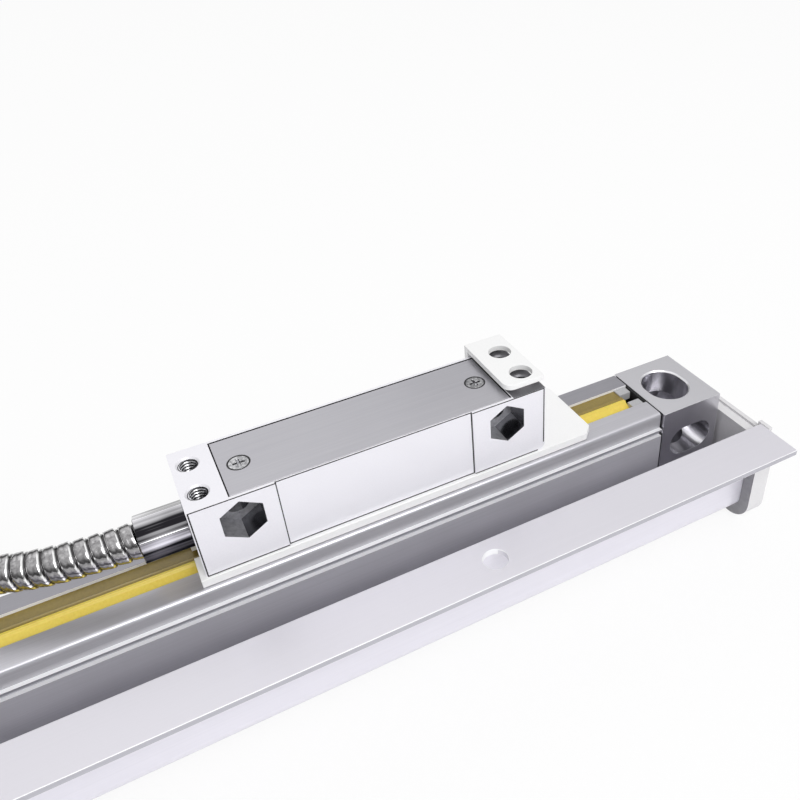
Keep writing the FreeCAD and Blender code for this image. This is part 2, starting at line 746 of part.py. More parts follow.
def reader_body():
    """The reading head's solid block with its cavity, pockets, taps and cable entry."""
    body = box(HEAD_LEFT, HEAD_RIGHT, HEAD_FRONT, HEAD_BACK, HEAD_BOTTOM, HEAD_TOP)
    corner = [
        e for e in body.Edges
        if e.BoundBox.XMin > HEAD_RIGHT - 0.01 and e.BoundBox.ZMax < HEAD_BOTTOM + 0.01
    ]
    body = body.makeFillet(HEAD_BOTTOM_R, corner)
    relief = box(
        HEAD_LEFT + RELIEF_LEFT, HEAD_RIGHT - RELIEF_RIGHT,
        HEAD_FRONT - 1, HEAD_FRONT + FRONT_RELIEF, HEAD_BOTTOM - 1, HEAD_TOP + 1,
    )
    rebate_z = HEAD_TOP - PLATE_SINK - PLATE_T
    rebate = box(
        HEAD_LEFT + PLATE_END, HEAD_RIGHT - PLATE_END,
        HEAD_FRONT + PLATE_SIDE, HEAD_BACK - PLATE_SIDE, rebate_z, HEAD_TOP + 1,
    )
    ring = box(
        HEAD_LEFT + CAVITY_END - GASKET_STRIP, HEAD_RIGHT - CAVITY_END + GASKET_STRIP,
        HEAD_FRONT + CAVITY_WALL - GASKET_STRIP, HEAD_BACK - CAVITY_WALL + GASKET_STRIP,
        rebate_z - GASKET_DEPTH, HEAD_TOP,
    )
    cavity = box(
        HEAD_LEFT + CAVITY_END, HEAD_RIGHT - CAVITY_END,
        HEAD_FRONT + CAVITY_WALL, HEAD_BACK - CAVITY_WALL, CAVITY_BOTTOM, HEAD_TOP,
    )
    pocket = box(
        HEAD_MID - FOOT_L / 2 - FOOT_CLEAR, HEAD_MID + FOOT_L / 2 + FOOT_CLEAR,
        SLOT_MID - FOOT_W / 2 - FOOT_CLEAR, SLOT_MID + FOOT_W / 2 + FOOT_CLEAR,
        HEAD_BOTTOM - 1, HEAD_BOTTOM + FOOT_T,
    )
    rear = SLOT_MID + BLADE_T / 2
    ribbon_way = box(
        HEAD_MID - RIBBON_W / 2 - RIBBON_ROOM, HEAD_MID + RIBBON_W / 2 + RIBBON_ROOM,
        rear - RIBBON_T - RIBBON_ROOM, rear + RIBBON_ROOM, HEAD_BOTTOM, CAVITY_BOTTOM + 1,
    )
    cutters = [relief, rebate, ring, cavity, pocket, ribbon_way]
    for x, y in head_taps():
        cutters.append(rod(TAP_R, (x, y, HEAD_TOP - TAP_DEPTH), TAP_DEPTH + 1, Z))
        mouth = HEAD_TOP - TAP_CHAMFER
        cutters.append(cone(TAP_R, TAP_R + TAP_CHAMFER, (x, y, mouth), TAP_CHAMFER, Z))
    for x in nut_places():
        cutters.append(polygon((x, HEAD_FRONT - 1, HEAD_TOP - NUT_DROP), NUT_AF, NUT_DEPTH + 1, Y, 0))
        cutters.append(rod(THROUGH_R, (x, HEAD_FRONT, HEAD_TOP - NUT_DROP), HEAD_W + 1, Y))
    for x in plate_screw_places():
        cutters.append(countersink(x, SCREW_CLEAR))
    for x in foot_screw_places():
        cutters.append(rod(PLATE_SCREW_R + SCREW_CLEAR, (x, SLOT_MID, HEAD_BOTTOM), CAVITY_FLOOR + 1, Z))
    spigot = GLAND_SPIGOT_R + GLAND_FIT
    cutters.append(rod(spigot, (HEAD_LEFT - 1, GLAND_Y, GLAND_Z), GLAND_SPIGOT_L + 1.1, X))
    cable = (HEAD_LEFT, GLAND_Y, GLAND_Z - CABLE_BORE_SIDE)
    cutters.append(rod(CABLE_BORE_R, cable, CAVITY_END + 1, X))
    return body.cut(cutters)


def reader_cover_plate():
    """The screwed plate that closes the reading head's top."""
    z0 = HEAD_TOP - PLATE_SINK - PLATE_T
    plate = box(
        HEAD_LEFT + PLATE_END + PLATE_CLEAR, HEAD_RIGHT - PLATE_END - PLATE_CLEAR,
        HEAD_FRONT + PLATE_SIDE + PLATE_CLEAR, HEAD_BACK - PLATE_SIDE - PLATE_CLEAR, z0, z0 + PLATE_T,
    )
    return plate.cut([countersink(x, SCREW_CLEAR) for x in plate_screw_places()])


def reader_gasket():
    """The flat gasket ring under the cover plate."""
    z1 = HEAD_TOP - PLATE_SINK - PLATE_T
    c = PLATE_CLEAR
    outer = box(
        HEAD_LEFT + CAVITY_END - GASKET_STRIP + c, HEAD_RIGHT - CAVITY_END + GASKET_STRIP - c,
        HEAD_FRONT + CAVITY_WALL - GASKET_STRIP + c, HEAD_BACK - CAVITY_WALL + GASKET_STRIP - c,
        z1 - GASKET_DEPTH, z1,
    )
    inner = box(
        HEAD_LEFT + CAVITY_END, HEAD_RIGHT - CAVITY_END,
        HEAD_FRONT + CAVITY_WALL, HEAD_BACK - CAVITY_WALL, z1 - 2, z1 + 1,
    )
    return outer.cut(inner)


def plate_screws():
    """The two countersunk cross-recess screws of the cover plate."""
    screws = []
    top = HEAD_TOP - PLATE_SINK
    for x in plate_screw_places():
        w = CROSS_W / 2
        half = CROSS_L / 2
        arms = [
            box(x - half, x + half, HEAD_Y - w, HEAD_Y + w, top - CROSS_D, top + 1),
            box(x - w, x + w, HEAD_Y - half, HEAD_Y + half, top - CROSS_D, top + 1),
        ]
        screws.append(countersink(x, 0.0).cut(arms))
    return Part.makeCompound(screws)


def reader_pcb():
    """The signal board in the reading head's cavity."""
    z0 = CAVITY_BOTTOM + PCB_RISE
    c = PCB_CLEAR
    board = box(
        HEAD_LEFT + CAVITY_END + c, HEAD_RIGHT - CAVITY_END - c,
        HEAD_FRONT + CAVITY_WALL + c, HEAD_BACK - CAVITY_WALL - c, z0, z0 + PCB_T,
    )
    rear = SLOT_MID + BLADE_T / 2
    notch = box(
        HEAD_MID - RIBBON_W, HEAD_MID + RIBBON_W,
        rear - RIBBON_T - RIBBON_ROOM, HEAD_BACK, z0 - 1, z0 + PCB_T + 1,
    )
    return board.cut(notch)


def pcb_posts():
    """The four posts that carry the signal board."""
    posts = []
    for sx in (-1, 1):
        for sy in (-1, 1):
            x = HEAD_MID + sx * (CAVITY_L / 2 - POST_INSET)
            y = HEAD_Y + sy * (HEAD_W / 2 - CAVITY_WALL - POST_INSET)
            posts.append(rod(POST_R, (x, y, CAVITY_BOTTOM), PCB_RISE, Z))
    return Part.makeCompound(posts)


def pcb_chips():
    """The comparator, the line driver and the header on the signal board."""
    z0 = CAVITY_BOTTOM + PCB_RISE + PCB_T
    front = HEAD_FRONT + CAVITY_WALL + CHIP_INSET
    chips = []
    for end, gap, length, depth, height in CHIPS:
        middle = HEAD_MID + end * (CAVITY_L / 2 - gap - length / 2)
        x = middle - length / 2
        chips.append(box(x, x + length, front, front + depth, z0, z0 + height))
    return Part.makeCompound(chips)


def cable_gland():
    """The hexagonal gland with its spigot in the reading head and its bore for the conduit."""
    hexagon = polygon((GLAND_LEFT, GLAND_Y, GLAND_Z), GLAND_AF, GLAND_L, X, 0)
    spigot = rod(GLAND_SPIGOT_R, (HEAD_LEFT, GLAND_Y, GLAND_Z), GLAND_SPIGOT_L, X)
    mouth = rod(CONDUIT_D / 2 + CONDUIT_CLEAR, (GLAND_LEFT - 1, GLAND_Y, GLAND_Z), GLAND_BORE_DEPTH + 1, X)
    way = rod(GLAND_WAY_R, (GLAND_LEFT, GLAND_Y, GLAND_Z), GLAND_L + GLAND_SPIGOT_L + 1, X)
    return hexagon.fuse(spigot).cut([mouth, way])


def shipping_bracket():
    """The plastic fork between head and scale, with its web and its drilled flange over the head."""
    x0 = HEAD_LEFT - BRACKET_LEFT
    x1 = HEAD_RIGHT + BRACKET_RIGHT
    y0 = HEAD_FRONT - BRACKET_FRONT
    web_y = HEAD_BACK + BRACKET_BACK_GAP
    y1 = web_y + BRACKET_T
    base = box(x0, x1, y0, y1, BRACKET_BOTTOM, HEAD_BOTTOM)
    tips = [e for e in base.Edges if e.BoundBox.ZLength > 1 and e.BoundBox.XMin > x1 - 0.01]
    base = base.makeChamfer(BRACKET_CORNER, tips)
    fork = box(
        x0 - 1, HEAD_MID + FOOT_L / 2 + FORK_RIGHT,
        SLOT_MID - BLADE_T / 2 - FORK_CLEAR, SLOT_MID + BLADE_T / 2 + FORK_CLEAR,
        SCALE_TOP - 1, HEAD_BOTTOM + 1,
    )
    fx1 = HEAD_RIGHT + BRACKET_FLANGE_REACH
    fx0 = fx1 - BRACKET_FLANGE_L
    z0 = HEAD_TOP + BRACKET_GAP
    flange_y = HEAD_FRONT + BRACKET_FLANGE_SETBACK
    web = box(fx0, fx1, web_y, y1, BRACKET_BOTTOM, z0 + BRACKET_FLANGE_T)
    flange = box(fx0, fx1, flange_y, y1, z0, z0 + BRACKET_FLANGE_T)
    front_left = [
        e for e in flange.Edges
        if e.BoundBox.ZLength > 1 and e.BoundBox.XMax < fx0 + 0.01 and e.BoundBox.YMax < flange_y + 0.01
    ]
    flange = flange.makeFillet(BRACKET_CORNER, front_left)
    holes = [
        rod(BRACKET_HOLE_R, (x, y, z0 - 1), BRACKET_FLANGE_T + 2, Z)
        for x, y in head_taps() if x > HEAD_MID
    ]
    return base.cut(fork).fuse([web, flange.cut(holes)]).removeSplitter()


def blade():
    """The steel blade that passes between the lips, with the foot that carries it."""
    half = BLADE_L / 2
    y0 = SLOT_MID - BLADE_T / 2
    y1 = SLOT_MID + BLADE_T / 2
    points = [
        Vector(HEAD_MID - half, SLOT_MID, BLADE_BOTTOM),
        Vector(HEAD_MID - half + BLADE_TAPER, y0, BLADE_BOTTOM),
        Vector(HEAD_MID + half - BLADE_TAPER, y0, BLADE_BOTTOM),
        Vector(HEAD_MID + half, SLOT_MID, BLADE_BOTTOM),
        Vector(HEAD_MID + half - BLADE_TAPER, y1, BLADE_BOTTOM),
        Vector(HEAD_MID - half + BLADE_TAPER, y1, BLADE_BOTTOM),
    ]
    web = Part.Face(Part.makePolygon(points + [points[0]])).extrude(Z * (HEAD_BOTTOM - BLADE_BOTTOM))
    foot = box(
        HEAD_MID - FOOT_L / 2, HEAD_MID + FOOT_L / 2,
        SLOT_MID - FOOT_W / 2, SLOT_MID + FOOT_W / 2, HEAD_BOTTOM, HEAD_BOTTOM + FOOT_T,
    )
    r = RIBBON_CLEAR
    way = box(
        HEAD_MID - RIBBON_W / 2 - r, HEAD_MID + RIBBON_W / 2 + r,
        y1 - RIBBON_T - r, y1 + r, BLADE_BOTTOM - 1, HEAD_BOTTOM + FOOT_T + 1,
    )
    radius = PLATE_SCREW_R + SCREW_CLEAR
    holes = [rod(radius, (x, SLOT_MID, HEAD_BOTTOM - 1), FOOT_T + 2, Z) for x in foot_screw_places()]
    return web.fuse(foot).cut([way] + holes).removeSplitter()


def driver_slot(x, y, top):
    """The cutter of a screwdriver slot in an upright screw's head."""
    half = DRIVER_SLOT_W / 2
    return box(x - 5, x + 5, y - half, y + half, top - DRIVER_SLOT_D, top + 1)


def foot_screws():
    """The two pan-head screws that hold the blade's foot from the cavity."""
    screws = []
    for x in foot_screw_places():
        shank = rod(PLATE_SCREW_R, (x, SLOT_MID, HEAD_BOTTOM), CAVITY_FLOOR, Z)
        head = rod(FOOT_SCREW_HEAD_R, (x, SLOT_MID, CAVITY_BOTTOM), FOOT_SCREW_HEAD_H, Z)
        slot = driver_slot(x, SLOT_MID, CAVITY_BOTTOM + FOOT_SCREW_HEAD_H)
        screws.append(shank.fuse(head).cut(slot))
    return Part.makeCompound(screws)


def coupling_spring():
    """The arched leaf spring that ties the carriage to the blade."""
    z0 = CARRIAGE_TOP
    z1 = z0 + SPRING_RISE
    t = SPRING_T
    path = [
        (-SPRING_REACH - SPRING_FOOT, z0), (-SPRING_REACH, z0), (-SPRING_FLAT, z1),
        (SPRING_FLAT, z1), (SPRING_REACH, z0), (SPRING_REACH + SPRING_FOOT, z0),
    ]
    y0 = SLOT_MID - BLADE_T / 2 - SPRING_INSET
    lower = [Vector(HEAD_MID + x, y0, z) for x, z in path]
    upper = [Vector(HEAD_MID + x, y0, z + t) for x, z in reversed(path)]
    points = lower + upper
    return Part.Face(Part.makePolygon(points + [points[0]])).extrude(Y * SPRING_W)


def bearing_axes():
    """Centre and axis of each carriage bearing: three on the glass face and two on its edge."""
    face_y = GLASS_FRONT - ROLL_CLEAR - BEARING_R
    places = [((HEAD_MID + dx, face_y, SEAT_TOP + dz), Z) for dx, dz in FACE_BEARINGS]
    edge_z = GLASS_TOP + ROLL_CLEAR + BEARING_R
    places += [((HEAD_MID + s * EDGE_BEARING_X, SLOT_MID, edge_z), Y) for s in (-1, 1)]
    return places


def carriage_bearing(index):
    """One small ball bearing, with the recess of its shields."""
    centre, axis = bearing_axes()[index]
    start = Vector(*centre) - axis * (BEARING_W / 2)
    ring = Part.makeCylinder(BEARING_R, BEARING_W, start, axis)
    bore = Part.makeCylinder(BEARING_BORE, BEARING_W, start, axis)
    cutters = [bore]
    for face in (0.0, BEARING_W - BEARING_RECESS):
        outer = Part.makeCylinder(BEARING_R - BEARING_RIM, BEARING_RECESS, start + axis * face, axis)
        inner = Part.makeCylinder(BEARING_BORE + BEARING_HUB, BEARING_RECESS, start + axis * face, axis)
        cutters.append(outer.cut(inner))
    return ring.cut(cutters)


def bearing_pins():
    """The pins that carry the bearings: three hang from the carriage and two cross it."""
    pins = []
    radius = BEARING_BORE - PIN_CLEAR
    for centre, axis in bearing_axes():
        x, y, z = centre
        if axis == Z:
            low = z - BEARING_W / 2 - SIDE_CLEAR
            shank = rod(radius, (x, y, low), CARRIAGE_BOTTOM + PIN_SEAT - low, Z)
            pins.append(shank.fuse(rod(PIN_HEAD_R, (x, y, low - PIN_HEAD_H), PIN_HEAD_H, Z)))
        else:
            reach = BEARING_W / 2 + SIDE_CLEAR + PIN_SEAT
            pins.append(rod(radius, (x, y - reach, z), 2 * reach, Y))
    return Part.makeCompound(pins)


def scanning_carriage():
    """The carriage that straddles the glass and holds the light source and the detector."""
    y0 = SLOT_MID - CARRIAGE_W / 2
    y1 = SLOT_MID + CARRIAGE_W / 2
    body = box(HEAD_MID - CARRIAGE_L / 2, HEAD_MID + CARRIAGE_L / 2, y0, y1, CARRIAGE_BOTTOM, CARRIAGE_TOP)
    limb_z = SEAT_TOP + LIMB_FOOT_GAP
    front_y = GLASS_FRONT - LIMB_GAP
    back_y = GLASS_BACK + LIMB_GAP
    limbs = [
        box(HEAD_MID - LIMB_L / 2, HEAD_MID + LIMB_L / 2, y0, front_y, limb_z, CARRIAGE_BOTTOM),
        box(HEAD_MID - LIMB_L / 2, HEAD_MID + LIMB_L / 2, back_y, y1, limb_z, CARRIAGE_BOTTOM),
    ]
    bosses = []
    cutters = []
    pin_r = BEARING_BORE - PIN_CLEAR
    for centre, axis in bearing_axes():
        x, y, z = centre
        if axis == Z:
            low = z + BEARING_W / 2 + SIDE_CLEAR
            bosses.append(rod(PIN_HEAD_R, (x, y, low), CARRIAGE_BOTTOM + BOSS_SEAT - low, Z))
            cutters.append(rod(pin_r, (x, y, low - 1), CARRIAGE_BOTTOM + PIN_SEAT + 1 - low, Z))
        else:
            half = BEARING_W / 2 + SIDE_CLEAR
            room = BEARING_R + BEARING_ROOM
            cutters.append(box(
                x - room, x + room, y - half, y + half, CARRIAGE_BOTTOM - 1, CARRIAGE_TOP + 1,
            ))
            cutters.append(rod(pin_r, (x, y - half - PIN_SEAT, z), 2 * (half + PIN_SEAT), Y))
    cutters.append(rod(LED_R, (HEAD_MID, y0 - 1, OPTICS_Z), CARRIAGE_W / 2, Y))
    cutters.append(rod(LENS_R, (HEAD_MID, front_y - LENS_T, OPTICS_Z), LENS_T + 1, Y))
    cutters.append(box(
        HEAD_MID - RETICLE_W / 2, HEAD_MID + RETICLE_W / 2, back_y - 1, y1 + 1,
        OPTICS_Z - RETICLE_H / 2, OPTICS_Z + RETICLE_H / 2,
    ))
    return body.fuse(limbs + bosses).cut(cutters).removeSplitter()


def light_source():
    """The light-emitting diode with its dome, in the front limb."""
    y0 = SLOT_MID - CARRIAGE_W / 2
    dome_y = GLASS_FRONT - LIMB_GAP - LENS_T - LED_LENS_GAP
    body = rod(LED_R, (HEAD_MID, y0 + LED_INSET, OPTICS_Z), dome_y - LED_R - y0 - LED_INSET, Y)
    dome = Part.makeSphere(LED_R, Vector(HEAD_MID, dome_y - LED_R, OPTICS_Z))
    return body.fuse(dome)


def collimator_lens():
    """The plano-convex lens in front of the light source."""
    back = GLASS_FRONT - LIMB_GAP - LENS_T
    return rod(LENS_R, (HEAD_MID, back, OPTICS_Z), LENS_T, Y)


def index_grating():
    """The index grating behind the glass scale."""
    y0 = GLASS_BACK + RETICLE_GAP
    z0 = OPTICS_Z - RETICLE_H / 2
    return box(HEAD_MID - RETICLE_W / 2, HEAD_MID + RETICLE_W / 2, y0, y0 + RETICLE_T, z0, z0 + RETICLE_H)


def detector_parts():
    """Y of the photodetector's front and of its board's front."""
    front = GLASS_BACK + RETICLE_GAP + RETICLE_T
    return front, front + DETECTOR_T


def photodetector():
    """The photodetector array behind the index grating."""
    y0, y1 = detector_parts()
    half_w = RETICLE_W / 2 - DETECTOR_INSET
    half_h = RETICLE_H / 2 - DETECTOR_INSET
    return box(HEAD_MID - half_w, HEAD_MID + half_w, y0, y1, OPTICS_Z - half_h, OPTICS_Z + half_h)


def detector_board():
    """The small board that carries the photodetector and fills the window of the rear limb."""
    y0 = detector_parts()[1]
    z0 = OPTICS_Z - RETICLE_H / 2
    return box(HEAD_MID - RETICLE_W / 2, HEAD_MID + RETICLE_W / 2, y0, y0 + BOARD_T, z0, z0 + RETICLE_H)


def signal_ribbon():
    """The flat cable from the carriage up the blade to the signal board."""
    y1 = SLOT_MID + BLADE_T / 2
    y0 = y1 - RIBBON_T
    x0 = HEAD_MID - RIBBON_W / 2
    x1 = HEAD_MID + RIBBON_W / 2
    low = CARRIAGE_TOP
    high = CAVITY_BOTTOM + PCB_RISE
    back = SLOT_MID + CARRIAGE_W / 2
    top_run = box(x0, x1, y0, back + RIBBON_T, low, low + RIBBON_T)
    climb = box(x0, x1, y0, y1, low, high)
    foot = OPTICS_Z + RETICLE_H / 2 - 2 * RIBBON_T
    drop = box(x0, x1, back, back + RIBBON_T, foot, low + RIBBON_T)
    inner = detector_parts()[1] + BOARD_T
    entry = box(x0, x1, inner, back + RIBBON_T, foot, foot + RIBBON_T)
    return climb.fuse([top_run, drop, entry]).removeSplitter()


def cable_path(points):
    """Straight runs joined by tangent arcs, each as large as its two runs allow."""
    pts = [Vector(*p) for p in points]
    edges = []
    start = pts[0]
    for before, corner, after in zip(pts, pts[1:], pts[2:]):
        into = (corner - before).normalize()
        out = (after - corner).normalize()
        turn = into.getAngle(out)
        trim = 0.45 * min((corner - before).Length, (after - corner).Length)
        radius = trim / math.tan(turn / 2)
        a = corner - into * trim
        b = corner + out * trim
        bisector = (out - into).normalize()
        middle = corner + bisector * (radius / math.cos(turn / 2) - radius)
        edges.append(Part.LineSegment(start, a).toShape())
        edges.append(Part.Arc(a, middle, b).toShape())
        print("cable arc radius %.1f mm, turn %.1f degrees" % (radius, math.degrees(turn)))
        start = b
    edges.append(Part.LineSegment(start, pts[-1]).toShape())
    return Part.Wire(edges), (pts[1] - pts[0]).normalize()


def cable_tube(points):
    """A round tube of the conduit's diameter along a path."""
    path, direction = cable_path(points)
    circle = Part.Circle(Vector(*points[0]), direction, CONDUIT_D / 2).toShape()
    tube = path.makePipeShell([Part.Wire([circle])], True, False)
    section = math.pi * CONDUIT_D ** 2 / 4
    print("cable run %.1f mm, volume ratio %.4f" % (path.Length, tube.Volume / (section * path.Length)))
    return tube


def conduit_coil():
    """The outer shape of the stored coil: a ring of helical columns of conduit."""
    half = CONDUIT_D / 2
    top = COIL_TOP_TURN_Z + half
    centre = Vector(COIL_CENTRE[0], COIL_CENTRE[1], 0)
    ring = Part.makeCylinder(COIL_OUTER_TURN_R + half, top, centre)
    ring = ring.makeChamfer(COIL_EDGE, [e for e in ring.Edges if len(e.Vertexes) == 1])
    return ring.cut(Part.makeCylinder(COIL_INNER_TURN_R - half, top + 2, centre - Z))


def coil_tie():
    """The strap round the coil's section, at its far side."""
    half = (COIL_OUTER_TURN_R - COIL_INNER_TURN_R + CONDUIT_D) / 2 + TIE_CLEAR
    top = COIL_TOP_TURN_Z + CONDUIT_D / 2 + TIE_CLEAR
    x = COIL_CENTRE[0] + (COIL_OUTER_TURN_R + COIL_INNER_TURN_R) / 2
    y = COIL_CENTRE[1]
    t = TIE_T
    outer = box(x - half - t, x + half + t, y - TIE_W / 2, y + TIE_W / 2, 0.0, top + t)
    outer = outer.makeFillet(TIE_CORNER, [e for e in outer.Edges if e.BoundBox.YLength > 1])
    slot = box(x - half, x + half, y - TIE_W, y + TIE_W, -1.0, top)
    return outer.cut(slot)


def plug_frame():
    """Cable end, plug axis height and the Y of the plug's rear and front."""
    x, end, z = CABLE_TAIL[-1]
    y = end - PLUG_ENTRY
    return x, y, z, y + PLUG_L


def plug_hood_outline(x, y):
    """The hood's outline seen from above, from its neck to its wide front."""
    neck = PLUG_NECK_R
    half = PLUG_W / 2
    return [
        Vector(x - neck, y, 0), Vector(x + neck, y, 0), Vector(x + neck, y + PLUG_NECK_L, 0),
        Vector(x + half, y + PLUG_NECK_L + PLUG_SHOULDER, 0), Vector(x + half, y + PLUG_L, 0),
        Vector(x - half, y + PLUG_L, 0), Vector(x - half, y + PLUG_NECK_L + PLUG_SHOULDER, 0),
        Vector(x - neck, y + PLUG_NECK_L, 0),
    ]


def hood_screw_places():
    """X and Y of the two screws that join the plug's hood halves."""
    x, y = plug_frame()[:2]
    return [(x + s * HOOD_SCREW_X, y + HOOD_SCREW_Y) for s in (-1, 1)]


def knob_front():
    """Y of the front of the thumbscrews' knobs."""
    return plug_frame()[1] + PLUG_NECK_L + PLUG_SHOULDER + THUMB_KNOB_L / 4


def plug_hood(upper):
    """One half of the plug's hood, hollow inside, with room for the thumbscrews."""
    x, y, z, front = plug_frame()
    points = plug_hood_outline(x, y)
    z0 = z if upper else z - PLUG_T / 2
    z1 = z + PLUG_T / 2 if upper else z - PLUG_SPLIT
    solid = Part.Face(Part.makePolygon(points + [points[0]])).extrude(Z * (z1 - z0))
    solid.translate(Z * z0)
    half = PLUG_T / 2 - PLUG_WALL
    start = y + PLUG_NECK_L + PLUG_SHOULDER / 2
    hollow = box(x - PLUG_HOLLOW, x + PLUG_HOLLOW, start, front + 1, z - half, z + half)
    reach = SHELL_D_W / 2 + 1
    mouth = box(x - reach, x + reach, front - PLUG_MOUTH, front + 1, z - half, z + half)
    seat = PLUG_ENTRY + CONDUIT_CLEAR
    cutters = [hollow, mouth, rod(CONDUIT_D / 2 + CONDUIT_CLEAR, (x, y - 1, z), seat + 1, Y)]
    cutters.append(rod(CABLE_BORE_R, (x, y, z), PLUG_NECK_L + PLUG_SHOULDER, Y))
    for s in (-1, 1):
        sx = x + s * THUMB_SPACING / 2
        cutters.append(rod(THUMB_R + THUMB_CLEAR, (sx, y, z), PLUG_L + 1, Y))
        cutters.append(rod(THUMB_KNOB_R + KNOB_ROOM, (sx, y, z), knob_front() + KNOB_END_GAP - y, Y))
    top = z + PLUG_T / 2 - HOOD_SCREW_SINK - HOOD_SCREW_HEAD_H
    for hx, hy in hood_screw_places():
        cutters.append(rod(HOOD_SCREW_R + SCREW_CLEAR, (hx, hy, z - PLUG_T / 2 + HOOD_BORE_LOW), PLUG_T, Z))
        cutters.append(rod(HOOD_SCREW_HEAD_R + HEAD_CLEAR, (hx, hy, top - HEAD_CLEAR), PLUG_T, Z))
    return solid.cut(cutters)


def hood_screws():
    """The two screws that join the hood halves."""
    z = plug_frame()[2]
    screws = []
    low = z - PLUG_T / 2 + HOOD_SCREW_LOW
    top = z + PLUG_T / 2 - HOOD_SCREW_SINK
    for hx, hy in hood_screw_places():
        shank = rod(HOOD_SCREW_R, (hx, hy, low), top - HOOD_SCREW_HEAD_H - low, Z)
        head = rod(HOOD_SCREW_HEAD_R, (hx, hy, top - HOOD_SCREW_HEAD_H), HOOD_SCREW_HEAD_H, Z)
        screws.append(shank.fuse(head).cut(driver_slot(hx, hy, top)))
    return Part.makeCompound(screws)


def d_outline(x, y, z, width, height):
    """The D-shaped outline of the plug's face, wider above than below."""
    shift = height / 2 * math.tan(math.radians(SHELL_SLOPE))
    return [
        Vector(x - width / 2 + shift, y, z - height / 2), Vector(x + width / 2 - shift, y, z - height / 2),
        Vector(x + width / 2 + shift, y, z + height / 2), Vector(x - width / 2 - shift, y, z + height / 2),
    ]


def d_prism(y, z, width, height, length):
    """A D-shaped prism along Y, with its long edges rounded."""
    x = plug_frame()[0]
    points = d_outline(x, y, z, width, height)
    solid = Part.Face(Part.makePolygon(points + [points[0]])).extrude(Y * length)
    corners = [e for e in solid.Edges if e.BoundBox.YLength > length * 0.9]
    return solid.makeFillet(height * SHELL_ROUND, corners)


def plug_shell():
    """The plug's metal flange and D-shaped shell."""
    x, y, z, front = plug_frame()
    half = SHELL_FLANGE_H / 2
    flange = box(x - PLUG_W / 2, x + PLUG_W / 2, front, front + SHELL_FLANGE_T, z - half, z + half)
    skirt = d_prism(front, z, SHELL_D_W, SHELL_D_H, SHELL_FLANGE_T + SHELL_D_L)
    inner = d_prism(front - 1, z, SHELL_D_W - 2 * SHELL_WALL, SHELL_D_H - 2 * SHELL_WALL, SHELL_D_L + 4)
    holes = [rod(THUMB_R + THUMB_CLEAR, (x + s * THUMB_SPACING / 2, front - 1, z), 3, Y) for s in (-1, 1)]
    return flange.fuse(skirt).cut([inner] + holes)


def contact_places():
    """X and Z of the nine contacts: five above and four below."""
    x, y, z, front = plug_frame()
    upper = [(x + (k - 2) * PIN_PITCH, z + PIN_ROW_GAP / 2) for k in range(5)]
    lower = [(x + (k - 1.5) * PIN_PITCH, z - PIN_ROW_GAP / 2) for k in range(4)]
    return upper + lower


def plug_insert():
    """The plug's insulator, which fills the base of the shell and carries the contacts."""
    front = plug_frame()[3]
    z = plug_frame()[2]
    c = 2 * (SHELL_WALL + INSERT_CLEAR)
    length = INSERT_DEPTH + SHELL_FLANGE_T + INSERT_PROUD
    body = d_prism(front - INSERT_DEPTH, z, SHELL_D_W - c, SHELL_D_H - c, length)
    bores = [rod(PIN_R, (px, front - PIN_REAR, pz), 2 * PIN_REAR, Y) for px, pz in contact_places()]
    return body.cut(bores)


def plug_contacts():
    """The nine contact pins."""
    front = plug_frame()[3]
    pins = []
    for px, pz in contact_places():
        start = front - PIN_REAR
        end = front + SHELL_FLANGE_T + PIN_L
        shank = rod(PIN_R, (px, start, pz), end - PIN_TIP - start, Y)
        pins.append(shank.fuse(cone(PIN_R, PIN_R - PIN_TIP / 2, (px, end - PIN_TIP, pz), PIN_TIP, Y)))
    return Part.makeCompound(pins)


def thumbscrew(side):
    """One of the plug's two captive screws; side is -1 or 1 along X."""
    x, y, z, front = plug_frame()
    sx = x + side * THUMB_SPACING / 2
    knob_end = knob_front()
    rear = knob_end - THUMB_KNOB_L
    half = KNOB_SLOT_W / 2
    shank = rod(THUMB_R, (sx, knob_end, z), front + SHELL_FLANGE_T + THUMB_REACH - knob_end, Y)
    knob = rod(THUMB_KNOB_R, (sx, rear, z), THUMB_KNOB_L, Y)
    slot = box(sx - 4, sx + 4, rear - 1, rear + KNOB_SLOT_D, z - half, z + half)
    return shank.fuse(knob).cut(slot)


